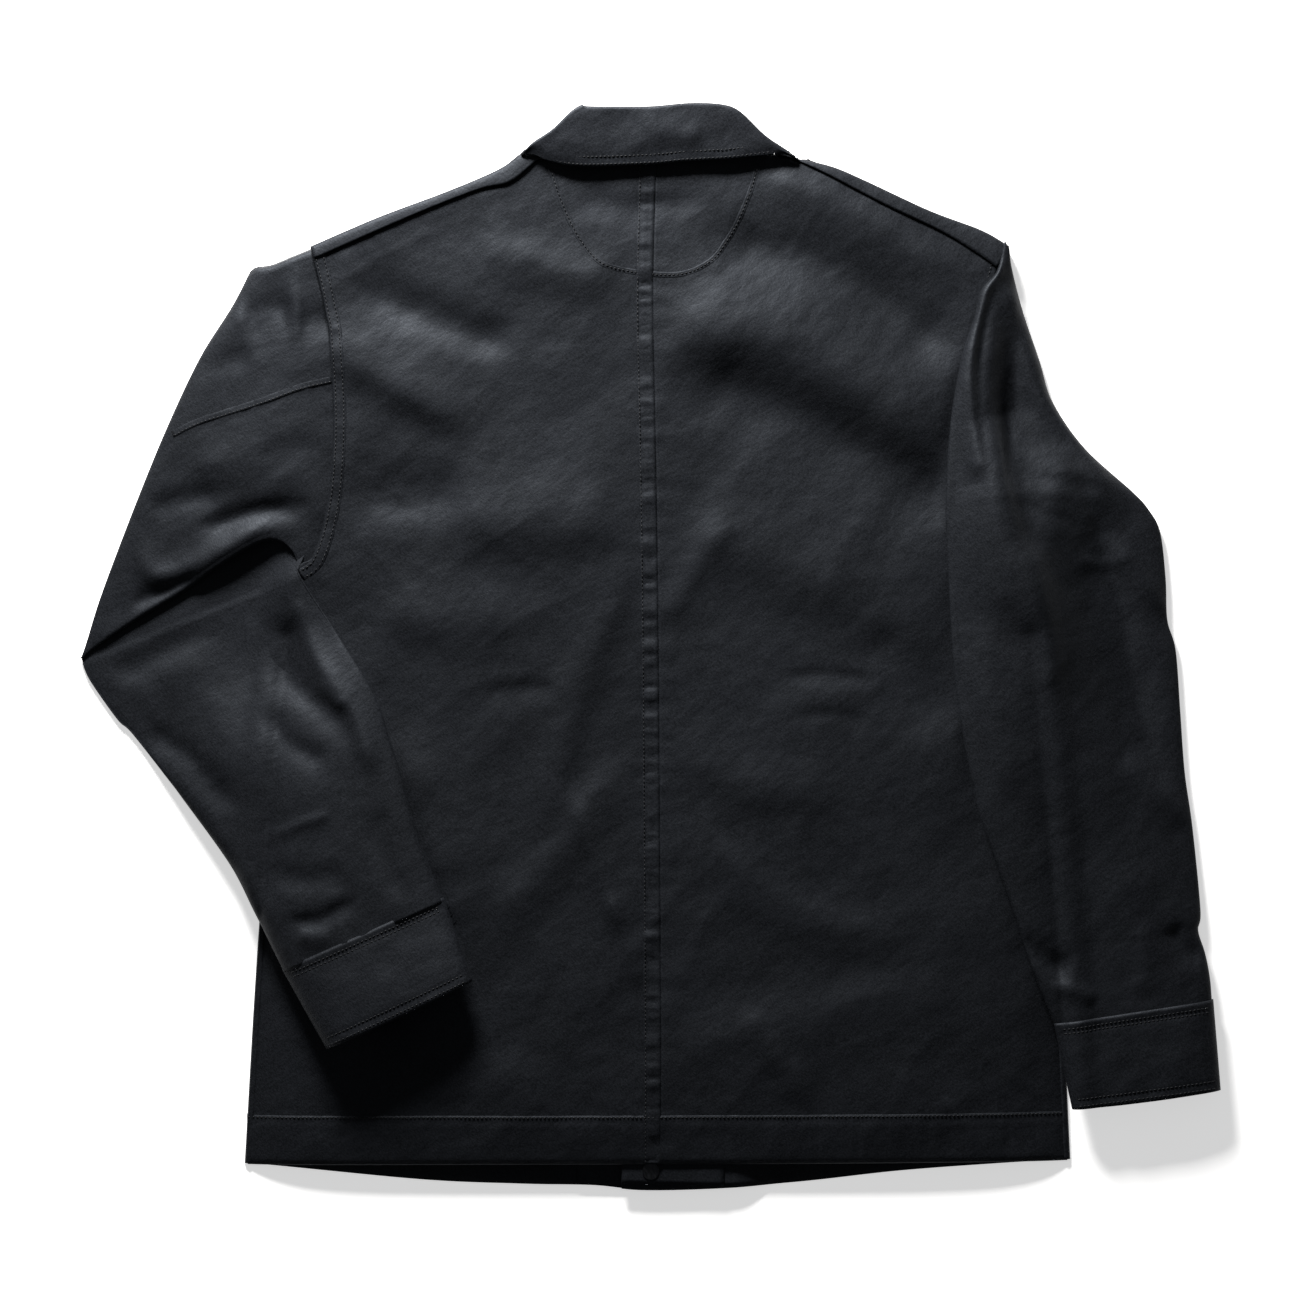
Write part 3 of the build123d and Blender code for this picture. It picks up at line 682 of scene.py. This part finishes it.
def torso_seams():
    """The back's seams, tapes and hem band, and all its topstitching."""
    side_rise = [-1.6, 0.3, 0.8, 0.9, 0.5, -1.2]
    for side, line, across in (("left", side_l[1:], (-2.2, 3.2)),
                               ("right", side_r[1:], (-3.2, 2.2))):
        rise = side_rise if side == "left" else side_rise[::-1]
        dressed(strip(f"side_roll_{side}", line, across, torso_top, shell, rise, 0.25, 41),
                "torso", replaces=[f"side_seam_{side}"])
    fell = [-0.25, 0.30, 0.40, 0.30, 0.55, 0.60, 0.62, 0.60, 0.70, 0.75, 0.55, -0.50]
    dressed(strip("centre_fell", centre_back, (12.5, -1.2), torso_top, shell, fell, 0.95, 51,
                  spacing=1.5 * MM), "torso", replaces=["centre_back_seam"])
    tape_rise = [-0.8, 0.45, 0.25, 0.36, 0.38, 0.34, 0.22, 0.24, -0.15]
    dressed(strip("armhole_tape_left", armhole_l, (-0.6, 9.5), torso_top, shell, tape_rise,
                  0.35, 61), "torso", replaces=["armhole_seam_left"])
    dressed(strip("armhole_tape_right", armhole_r, (0.6, -9.5), sunk_top, shell, tape_rise,
                  0.35, 62), "torso", replaces=["armhole_seam_right"])
    hem = np.vstack([hem_l, hem_r[1:]])
    hem_rise = ([-1.3, 0.25, 0.55] + [0.5] * 9 + [0.62, 0.45, 0.20, 0.42, -0.35])
    dressed(strip("back_hem_band", hem, (-0.8, 36.0), torso_top, shell, hem_rise, 0.45, 71),
            "torso", replaces=["back_hem"])
    dressed(strip("half_moon_ridge", half_moon, (-2.6, 2.6), torso_top, shell,
                  [-0.30, 0.16, 0.22, 0.05, 0.22, 0.16, -0.30], 0.25, 81), "torso")
    rows = [(centre_back, 10.5), (armhole_l, 1.7), (armhole_l, 7.2), (armhole_r, -1.7),
            (armhole_r, -7.2), (hem, 33.6), (half_moon, 0.0)]
    stitching = stitches("torso_stitches", rows, lambda x, y: sunk_top(x, y) + 0.32 * MM,
                         thread)
    dressed(stitching, "torso")


def neck_inside():
    """The half-moon facing, the blank label and the hanger loop, all under the back."""
    west, east = half_moon[0], half_moon[-1]
    low_y, pull_in = 270.5 * MM, 0.6
    plan = patch(np.array([(west[0], low_y), (east[0], low_y)]), half_moon[[0, -1]],
                 np.array([(west[0] * pull_in, low_y), west]),
                 np.array([(east[0] * pull_in, low_y), east]), 24, 40)
    dressed(cloth_piece("neck_facing", lifted(plan, lambda x, y: torso_base(x, y) - 3.2 * MM),
                        shell), "torso", replaces=["back_neck_facing"])
    for name, node, line, half in (("blank_label", "neck_label", [(-22, 318), (30, 318)], 10),
                                   ("hanger_tape", "hanger_loop", [(-28, 338), (36, 338)], 3.5)):
        piece = strip(name, mm(line), (-half, half), lambda x, y: torso_base(x, y) - 4.4 * MM,
                      tape, [-0.1, 0.0, 0.05, 0.05, 0.0, -0.1], 0.2, 91)
        dressed(piece, "torso", [node])


# ---- collar ------------------------------------------------------------------------------
def collar():
    across, down = 150, 46
    free, fold_line = smooth(collar_edge, across), smooth(collar_top, across)
    neck = free * [1, 1] + (fold_line - free) * 0.12
    u = np.linspace(0, 1, across)
    full = np.sqrt(np.clip(1 - (2 * u - 1) ** 8, 0, 1))
    ground = torso_base(free[:, 0], free[:, 1]) + 0.8 * MM
    edge_z = ground + (0.8 + 4.6 * full) * MM + 0.5 * noise(u, u * 0, 0.12, 15) * MM
    crest_z = np.minimum(ground + (2.0 + 8.6 * full) * MM, 0.0262)
    crest_z += 0.8 * noise(u, u * 0, 0.16, 16) * MM
    edge_z += 1.6 * MM * u
    crest_z -= 1.4 * MM * u
    root_z = ground + (0.6 + 1.0 * full) * MM
    grid = np.zeros((down, across, 3))
    for row, t in enumerate(np.linspace(0, 1, down)):
        if t < 0.56:
            s = t / 0.56
            plan = free + (fold_line - free) * s
            z = edge_z + (crest_z - edge_z) * math.sin(s * math.pi / 2)
            z = z + (2.3 * noise(plan[:, 0], plan[:, 1], 0.034, 17)
                     + 0.5 * noise(plan[:, 0], plan[:, 1], 0.012, 18)) * MM * math.sin(s * 3.1)
        elif t < 0.76:
            turn = (t - 0.56) / 0.20 * math.pi
            drop = (crest_z - root_z) / 2
            out = (fold_line - free)
            out = out / np.maximum(np.linalg.norm(out, axis=1, keepdims=True), 1e-6)
            plan = fold_line + out * (np.minimum(drop, 2.2 * MM) * math.sin(turn))[:, None]
            z = crest_z - drop * (1 - math.cos(turn))
        else:
            s = (t - 0.76) / 0.24
            plan = fold_line + (neck - fold_line) * s
            z = root_z - 0.4 * MM * s
        grid[row, :, :2] = plan
        grid[row, :, 2] = z
    piece = cloth_piece("collar_leaf", grid, doubled, 1.3 * MM)
    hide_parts("collar_top_leaf", "collar_under_leaf", "neckband_back")
    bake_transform(piece)

    def on_leaf(x, y):
        gap, along, _ = nearest(x, y, free)
        s = np.clip(gap / 0.040, 0, 1)
        low, high = np.interp(along, u, edge_z), np.interp(along, u, crest_z)
        return low + (high - low) * np.sin(s * math.pi / 2)

    rows = [(collar_edge[1:-1], 1.7), (collar_edge[2:-1], 7.0)]
    dressed(stitches("collar_stitches", rows, on_leaf, thread), "collar")
    for side, corners in (("left", [(-52, 384), (-8, 287), (-60, 232), (-90.5, 350)]),
                          ("right", [(63, 380), (15, 287), (66, 232), (100.5, 348)])):
        a, b, c, d = mm(corners)
        plan = patch(np.array([b, c]), np.array([a, d]), np.array([b, a]), np.array([c, d]),
                     40, 20)
        point = cloth_piece(f"collar_tip_{side}_cloth",
                            lifted(plan, lambda x, y: x * 0 + 1.6 * MM), doubled, 1.3 * MM)
        dressed(point, f"collar_tip_{side}", [f"collar_point_{side}"])


# ---- sleeves -----------------------------------------------------------------------------
def turned(points, pivot, degrees):
    """Points in plan, turned about a pivot, anticlockwise as seen from above."""
    angle = math.radians(degrees)
    rel = points - pivot
    c, s = math.cos(angle), math.sin(angle)
    return pivot + np.stack([rel[..., 0] * c - rel[..., 1] * s,
                             rel[..., 0] * s + rel[..., 1] * c], axis=-1)


def edge_round(distance, width):
    """0 at a folded edge, rising like a quarter circle to 1 at this width inside it."""
    return np.sqrt(np.clip(1 - (1 - np.clip(distance / width, 0, 1)) ** 2, 0, 1))


# each fold: its path, height, width to its left, width to its right, share spent dying out
UPPER_L_FOLDS = [
    ([(-366, 92), (-362, 58), (-340, 54), (-302, 74), (-281, 86), (-250, 88)], 4.4, 10, 7, 0.3),
    ([(-330, 84), (-278, 100), (-238, 103)], -3.8, 7, 8, 0.3),
    ([(-408, 4), (-380, 16), (-352, 31), (-328, 46)], 2.2, 8, 8, 0.2),
    ([(-376, 33), (-350, 42), (-322, 56)], -3.0, 6, 5),
    ([(-296, 236), (-273, 243), (-254, 248)], -5.0, 13, 20, 0.3),
    ([(-254, 236), (-240, 236), (-228, 240)], -3.4, 14, 14, 0.3),
    ([(-257, 290), (-256, 262), (-248, 222)], 1.6, 6, 6, 0.5),
    ([(-332, 202), (-285, 213)], -1.8, 9, 9),
    ([(-362, 98), (-338, 108), (-305, 112)], -2.8, 8, 9),
    ([(-236, 172), (-280, 150), (-345, 128)], 2.0, 14, 22),
    ([(-236, 128), (-275, 126), (-330, 130)], 1.8, 14, 16),
    ([(-350, 150), (-372, 96), (-390, 50)], 1.6, 9, 12),
    ([(-246, 232), (-300, 238), (-318, 214)], 1.6, 12, 10),
]
FOREARM_L_FOLDS = [
    ([(-258, 46), (-238, -8), (-210, -50), (-196, -92)], 3.6, 8, 7, 0.15),
    ([(-276, 30), (-262, -14), (-226, -50), (-202, -68)], -4.0, 11, 11, 0.4),
    ([(-352, 12), (-312, -48), (-264, -100), (-228, -128)], 3.4, 28, 22, 0.2),
    ([(-394, -22), (-350, 2), (-318, 18)], -3.0, 16, 12),
    ([(-368, -52), (-328, -82), (-296, -120)], -3.4, 9, 13),
    ([(-280, -40), (-258, -66), (-228, -84)], -2.2, 7, 8),
    ([(-272, -134), (-250, -124), (-226, -116)], 1.3, 3, 5),
    ([(-280, -158), (-245, -164), (-212, -158)], -1.8, 9, 9),
    ([(-262, -194), (-236, -192), (-206, -176)], -2.2, 5, 7),
    ([(-254, -204), (-226, -206)], 1.6, 6, 7),
    ([(-196, -110), (-190, -150), (-172, -180)], -1.6, 8, 8),
    ([(-320, -120), (-290, -165), (-268, -210)], 1.6, 10, 12),
    ([(-240, -20), (-226, -36), (-214, -40)], 1.4, 4, 4),
]
RIGHT_FOLDS = [
    ([(257, 286), (240, 257), (230, 214), (229, 178), (236, 118)], 4.4, 5, 9, 0.1),
    ([(253, 270), (242, 246), (236, 214), (235, 168)], -1.6, 6, 5, 0.5),
    ([(258, 268), (274, 199), (302, 159), (338, 126)], 4.8, 13, 10, 0.12),
    ([(238, 204), (249, 152), (251, 116), (262, 66)], 3.0, 6, 13, 0.5),
    ([(249, 196), (257, 161), (257, 127), (262, 92)], -2.6, 4, 5, 0.5),
    ([(266, 132), (304, 126), (352, 108)], 8.0, 14, 60, 0.4),
    ([(288, 92), (322, 20), (346, -40), (366, -112)], -4.4, 20, 20, 0.25),
    ([(326, 86), (348, 58), (374, 22)], 3.2, 8, 10),
    ([(340, -72), (364, -98), (388, -128)], 3.4, 10, 14),
    ([(262, 128), (296, 120), (330, 117)], -0.6, 4, 5),
    ([(264, 118), (296, 110), (336, 108)], 0.5, 4, 5),
    ([(260, 106), (286, 96), (316, 89)], -0.7, 4, 5),
    ([(268, 137), (290, 142), (312, 139)], 0.6, 5, 5),
    ([(300, 66), (330, 62), (352, 74)], 1.0, 4, 5),
    ([(262, -206), (282, -222), (304, -232)], -4.2, 10, 9),
    ([(286, -242), (304, -244), (322, -252)], 2.0, 6, 6),
    ([(372, -196), (384, -214), (400, -222)], -3.0, 8, 8),
    ([(352, -190), (356, -220), (350, -250)], 1.4, 8, 8),
    ([(236, 40), (244, -40), (262, -120)], 1.6, 9, 12),
    ([(222, -10), (236, -70), (250, -110)], -1.4, 6, 6),
]


def cloth_noise(x, y, seed, angle):
    """A sleeve's small wrinkles and creases, drawn out along angle."""
    value = 1.0 * noise(x, y, 0.070, seed, angle, 1.5) + 0.6 * noise(x, y, 0.032, seed + 1,
                                                                    angle, 1.6)
    value += 0.32 * noise(x, y, 0.014, seed + 2, angle, 1.5) + 0.12 * noise(x, y, 0.007, seed)
    fine = step((noise(x, y, 0.10, seed + 3) + 0.2) * 1.8)
    return (value + fine * 0.6 * crease(x, y, 0.045, seed + 4, angle, 2.4, 9)) * MM


def upper_left_top(x, y):
    """Top of the upper left sleeve: level with the back at the armhole, rolled at its rims."""
    outer = nearest(x, y, smooth(upper_outer_l, 40))[0]
    cap = nearest(x, y, smooth(shoulder_cap_l, 20))[0]
    arm = nearest(x, y, smooth(armhole_l, 30))[0]
    full = 14.0 * MM - 3.2 * MM * np.exp(-arm / 0.012)
    high = full + folds(x, y, UPPER_L_FOLDS) + cloth_noise(x, y, 101, 0.5)
    lip = nearest(x, y, smooth(lip_l, 40))[0]
    high = high - 2.2 * MM * np.exp(-lip / 0.026) * step((-0.305 - x) / 0.04)
    seam, _, side = nearest(x, y, smooth(back_seam_l, 40))
    high = high + 0.5 * MM * step((0.0004 - seam * side) / 0.0009) * np.exp(-seam / 0.02)
    low = 4.2 * MM
    high = high + (y - 0.16) * 0.028
    fall = 0.70 + 0.30 * step(outer / 0.085)
    return low + (high * fall - low) * edge_round(outer, 0.016) * edge_round(cap, 0.005)


def left_upper_sleeve():
    """One ring of cloth, open at the armhole and at the elbow. Its armhole end runs on
    inside the torso, so that the sleeve can swing out without tearing off."""
    rows = 96
    t = np.linspace(-1, 1, 131)
    plan = patch(lip_l[::-1], shoulder_cap_l[::-1], upper_outer_l[::-1], armhole_l[::-1],
                 rows, np.abs(t) ** 1.7)
    x, y = plan[..., 0], plan[..., 1]
    top = upper_left_top(x, y)
    outer = nearest(x, y, smooth(upper_outer_l, 40))[0]
    cap = nearest(x, y, smooth(shoulder_cap_l, 20))[0]
    under = 4.2 * MM - 3.2 * MM * edge_round(outer, 0.016) * edge_round(cap, 0.010)
    z = np.where(t[None] >= 0, top, under)
    grid = np.dstack([plan, z])
    roots = []
    for angle in (31, 24, 17, 11, 6, 2.5):
        share = angle / 31
        root = turned(plan[:, -1], SHOULDER_L, angle)
        upper = z[:, -1] + (6.6 * MM - z[:, -1]) * min(1.0, share * 3)
        lower = z[:, 0] + (4.6 * MM - z[:, 0]) * min(1.0, share * 2)
        roots.append((np.column_stack([root, upper]), np.column_stack([root, lower])))
    right = np.stack([r[0] for r in roots[::-1]], axis=1)
    left = np.stack([r[1] for r in roots], axis=1)
    grid = np.concatenate([left, grid, right], axis=1)
    weight = np.concatenate([np.zeros(len(roots)), np.clip(t, 0, 1) ** 0.4,
                             np.linspace(1, 0, len(roots))])
    curl = []
    lip = grid[0]
    outward = np.array([0.35, -0.94])
    for angle in np.linspace(180, 25, 7):
        turn = math.radians(angle)
        rim = lip.copy()
        rim[:, :2] += outward * (4.2 * MM * math.sin(turn) * weight)[:, None]
        rim[:, 2] -= 3.6 * MM * (1 - math.cos(turn)) * weight
        rim[:, 2] = np.maximum(rim[:, 2], 1.0 * MM)
        curl.append(rim)
    grid = np.concatenate([np.stack(curl), grid], axis=0)
    piece = cloth_piece("left_upper_cloth", grid, shell, face_up=False)
    dressed(piece, "left_upper_sleeve",
            replaces=["left_oversleeve", "left_undersleeve", "left_sleeve_front_upper"])
    lap = strip("left_sleeve_seam", back_seam_l[:-2], (-6.0, 0.3), upper_left_top, shell,
                [-0.35, 0.06, 0.12, 0.14, 0.18, 0.22, -0.6], 0.15, 111)
    dressed(lap, "left_upper_sleeve")
    dressed(stitches("left_sleeve_seam_stitches", [(back_seam_l[:-2], -1.6)], upper_left_top,
                     thread), "left_upper_sleeve")


def sleeve_ring(plan_rows, west, east, start, finish, columns):
    """A plan for a closed ring across a sleeve, from finish up to start. s runs from 0 at its
    west edge to 1 at its east edge, and phi runs once round it."""
    phi = np.linspace(0, 2 * math.pi, columns, endpoint=False)
    s = (1 - np.cos(phi)) / 2
    return patch(finish, start, west[::-1], east[::-1], plan_rows, s), s, phi


def ring_height(s, phi, low, loft, bumps, sharp=6.0):
    """Heights round a flattened ring that lies on low and is loft thick."""
    full = np.sqrt(np.clip(1 - np.abs(2 * s - 1) ** sharp, 0, 1))[None]
    middle = low + 0.40 * loft
    top = middle + (low + loft + bumps - middle) * full
    under = middle - (middle - low) * full
    return np.where((phi < math.pi)[None], top, under)


def left_forearm():
    """One closed ring of cloth, from inside the elbow's mouth to the cuff."""
    rows, columns = 120, 132
    elbow = np.array([ELBOW_L, forearm_inner_l[0]])
    cuff_line = cuff_l[[0, 1]]
    plan, s, phi = sleeve_ring(rows, forearm_outer_l, forearm_inner_l, elbow, cuff_line, columns)
    plan = plan[::-1]
    x, y = plan[..., 0], plan[..., 1]
    v = row_share(rows)
    low = support(x, y) + 1.4 * MM + 2.4 * MM * step(v * 1.1)
    loft = 2.6 + 7.0 * step((v - 0.12 - 0.10 * (1 - s)) / 0.26)
    loft = (loft + 4.5 * step((v - 0.30) / 0.50) + step((v - 0.7) / 0.3)) * MM
    bumps = (folds(x, y, FOREARM_L_FOLDS) + cloth_noise(x, y, 131, -1.0)) * step(v / 0.10)
    z = ring_height(s, phi, low, loft, bumps)
    grid = np.dstack([plan, z])
    tucked = []      # rings fanned about the elbow, inside the upper sleeve's mouth
    for angle in (46, 41, 35, 28, 21, 14, 8, 3):
        ring = grid[0].copy()
        ring[:, :2] = turned(ring[:, :2], ELBOW_L, angle)
        ring[:, :2] += (ring[:, :2] - ELBOW_L) * (0.055 - 0.004 * max(angle - 28, 0))
        ring[:, 2] = 2.2 * MM + (ring[:, 2] - ring[:, 2].min()) * (0.52 - 0.009 * angle)
        tucked.append(ring)
    grid = np.concatenate([np.stack(tucked), grid], axis=0)
    grid[len(tucked):len(tucked) + 2, :, 2] -= 0.6 * MM
    piece = cloth_piece("left_forearm_cloth", grid[::-1], shell, wrap=True)
    dressed(piece, "left_forearm", replaces=["left_sleeve_back_lower", "left_sleeve_front_lower"])


RIGHT_CREST = mm([(246, 168), (256, 124), (263, 75), (284, 10), (293, -41), (324, -125),
                  (358, -190), (372, -226)])


def right_crest(x, y):
    """The sleeve's fullness: a long ridge, with a slope to each of the sleeve's edges."""
    line = smooth(RIGHT_CREST, 60)
    gap, along, side = nearest(x, y, line)
    reach = np.where(side > 0, np.interp(along, [0, 0.2, 0.6, 1], [40, 56, 54, 28]),
                     np.interp(along, [0, 0.2, 0.6, 1], [26, 44, 74, 70])) * MM
    share = gap / reach
    tall = np.interp(along, [0, 0.14, 0.30, 0.60, 0.85, 1], [0, 20, 25, 14, 8, 0]) * MM
    return tall * np.clip(1.06 - np.sqrt(share ** 2 + 0.006), 0, None)


def right_sleeve():
    """One closed ring of cloth, shoulder to cuff, laid out with its turn at the elbow, and its
    root.
    """
    rows, columns = 250, 132
    start = np.array([outer_r[0], inner_r[0]])[::-1]
    finish = cuff_r[[0, 1]]
    plan, s, phi = sleeve_ring(rows, inner_r, outer_r, start, finish, columns)
    plan = plan[::-1]
    x, y = plan[..., 0], plan[..., 1]
    v = row_share(rows)
    low = support(x, y) + 1.4 * MM
    loft = (3.0 + 5.5 * step(v / 0.16) + 6.0 * step((v - 0.75) / 0.25)) * MM
    bumps = (folds(x, y, RIGHT_FOLDS) + cloth_noise(x, y, 151, 1.2)) * step(v / 0.06)
    bumps = bumps + right_crest(x, y)
    z = ring_height(s, phi, low, loft, bumps, 5.0)
    soft_top, room = 32 * MM, 10 * MM      # above soft_top the ridge levels off within room
    z = np.where(z > soft_top, soft_top + room * np.tanh((z - soft_top) / room), z)
    piece = cloth_piece("right_sleeve_cloth", np.dstack([plan, z])[::-1], shell, wrap=True)
    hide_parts("right_sleeve_back_upper", "right_sleeve_front_upper",
                "right_sleeve_back_lower", "right_sleeve_front_lower")
    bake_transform(piece)
    # the sleeve's root, inside the torso, fills the armhole when the sleeve swings out
    arm, turns = smooth(armhole_r, 50), np.linspace(-21, 4, 14)
    fan = np.stack([turned(arm, SHOULDER_R, angle) for angle in turns], axis=1)
    root = np.dstack([fan, np.full(fan.shape[:2], 6.0 * MM)])
    root[..., 2] += 2.5 * MM * step((np.arange(len(turns)) - 9) / 5.0)[None]
    dressed(cloth_piece("right_sleeve_root", root, shell), "right_upper_sleeve")


def cuff(side, corners, drop, end_loft, seed):
    """A cuff: a stiff doubled ring, a little wider than the sleeve, open at its end."""
    rows, columns = 30, 120
    a, b, c, d = corners
    away = (c - b) / np.linalg.norm(c - b)
    outer = np.array([a - away * 3 * MM + (a - b) * 0.008, d])
    inner = np.array([b - away * 3 * MM + (b - a) * 0.008, c])
    end_bow = np.array([d, (c + d) / 2 + away * 0.8 * MM, c])
    plan, s, phi = sleeve_ring(rows, outer, inner, np.array([outer[0], inner[0]]), end_bow,
                               columns)
    plan = plan[::-1]
    x, y = plan[..., 0], plan[..., 1]
    v = row_share(rows)
    low = support(x, y) + (2.2 + drop * v) * MM
    loft = (16.8 + (end_loft - 16.8) * step(v)) * MM
    lip = np.exp(-((v - 0.02) / 0.03) ** 2) * 0.5 * MM
    groove = -0.45 * MM * (np.exp(-((v - 0.11) / 0.02) ** 2) + np.exp(-((v - 0.90) / 0.02) ** 2))
    bumps = (0.9 * noise(x, y, 0.045, seed) + 0.4 * noise(x, y, 0.016, seed + 1)) * MM
    z = ring_height(s, phi, low, loft, bumps + lip + groove, 4.0)
    grid = np.dstack([plan, z])
    piece = cloth_piece(f"{side}_cuff_cloth", grid[::-1], doubled, DOUBLE, wrap=True)
    dressed(piece, f"{side}_cuff", replaces=[f"{side}_cuff_back", f"{side}_cuff_front"])
    half = columns // 2
    top_x, top_y = plan[:, :half, 0], plan[:, :half, 1]
    top_z = z[:, :half]

    def on_top(px, py):
        flat_x, flat_y, flat_z = top_x.ravel(), top_y.ravel(), top_z.ravel()
        px, py = np.asarray(px), np.asarray(py)
        found = np.empty(px.size)
        for number, (qx, qy) in enumerate(zip(px.ravel(), py.ravel())):
            gap = (flat_x - qx) ** 2 + (flat_y - qy) ** 2
            near = np.argpartition(gap, 4)[:4]
            weight = 1 / (gap[near] + 1e-9)
            found[number] = (flat_z[near] * weight).sum() / weight.sum()
        return found.reshape(px.shape)

    def row(share):
        left_end = outer[0] + (outer[1] - outer[0]) * share
        right_end = inner[0] + (inner[1] - inner[0]) * share
        return np.array([left_end + (right_end - left_end) * 0.04,
                         left_end + (right_end - left_end) * 0.96])

    rows_of = [(row(0.075), 0), (row(0.125), 0), (row(0.885), 0), (row(0.965), 0)]
    dressed(stitches(f"{side}_cuff_stitches", rows_of, on_top, thread), f"{side}_cuff")


# ---- put it together ---------------------------------------------------------------------
back_panels()
under_collar_l, under_collar_r = mm([(-76, 360)]), mm([(90, 358)])
left_shoulder_top = shoulder_roll("shoulder_roll_left", np.vstack([shoulder_l, under_collar_l]),
                                  np.vstack([shoulder_seam_l, under_collar_l - [0, 0.006]]),
                                  ["shoulder_strip_left"])
right_shoulder_top = shoulder_roll("shoulder_roll_right", np.vstack([shoulder_r, under_collar_r]),
                                   np.vstack([shoulder_seam_r, under_collar_r - [0, 0.004]]),
                                   ["shoulder_strip_right"])
dressed(stitches("shoulder_stitches_left", [(shoulder_seam_l, 1.6)], left_shoulder_top, thread),
        "torso")
dressed(stitches("shoulder_stitches_right",
                 [(shoulder_seam_r[::-1], 1.8), (shoulder_seam_r[6::-1] - [0.006, 0], 7.2)],
                 right_shoulder_top, thread), "torso")
fronts()
torso_seams()
neck_inside()
collar()
left_upper_sleeve()
left_forearm()
right_sleeve()
cuff("left", cuff_l, 3.0, 21.0, 171)
cuff("right", cuff_r, 0.6, 17.5, 181)


# ---- floor, light and camera ----------------------------------------------------------------
FLOOR_REACH = 4.0                          # metres each way from the middle
FLOOR_GREY = 0.93
FLOOR_GLOW = 0.55                          # keeps the shadows on the floor pale
KEY_PLACE = (-0.34, 1.21, 0.55)            # low, beyond the collar and a little to the left
KEY_SIZE = (0.46, 0.26)
KEY_WATTS = 80.0
SKY_STRENGTH = 0.105


def studio():
    ground = bpy.data.meshes.new("floor")
    reach = FLOOR_REACH
    ground.from_pydata([(-reach, -reach, 0), (reach, -reach, 0), (reach, reach, 0),
                        (-reach, reach, 0)], [], [(0, 1, 2, 3)])
    floor = bpy.data.objects.new("floor", ground)
    bpy.context.scene.collection.objects.link(floor)
    made, _, _, shader, _ = material("pale_floor")
    shader.inputs["Base Color"].default_value = (FLOOR_GREY, FLOOR_GREY, FLOOR_GREY, 1)
    shader.inputs["Roughness"].default_value = 0.9
    shader.inputs["Specular IOR Level"].default_value = 0.1
    shader.inputs["Emission Color"].default_value = (1, 1, 1, 1)
    shader.inputs["Emission Strength"].default_value = FLOOR_GLOW
    floor.data.materials.append(made)
    softbox = bpy.data.lights.new("key", "AREA")
    softbox.shape = "RECTANGLE"
    softbox.size, softbox.size_y = KEY_SIZE
    softbox.energy = KEY_WATTS
    softbox.color = (1.0, 0.985, 0.965)
    key = bpy.data.objects.new("key", softbox)
    key.location = KEY_PLACE
    aim = Vector((0.0, 0.0, 0.0)) - key.location
    key.rotation_euler = aim.to_track_quat("-Z", "Y").to_euler()
    bpy.context.scene.collection.objects.link(key)
    world = bpy.data.worlds.new("studio")
    world.use_nodes = True
    world.node_tree.nodes["Background"].inputs["Color"].default_value = (0.97, 0.985, 1.0, 1)
    world.node_tree.nodes["Background"].inputs["Strength"].default_value = SKY_STRENGTH
    bpy.context.scene.world = world
    bpy.context.scene.view_settings.view_transform = "Standard"


def camera():
    """Straight down over the middle of the jacket."""
    lens = bpy.data.cameras.new("overhead")
    lens.lens = 100.0
    lens.sensor_width = 36.0
    lens.clip_end = 20.0
    view = bpy.data.objects.new("overhead", lens)
    view.location = (0, 0, FRAME_WIDTH * lens.lens / lens.sensor_width + 6 * MM)
    bpy.context.scene.collection.objects.link(view)
    bpy.context.scene.camera = view


studio()
camera()
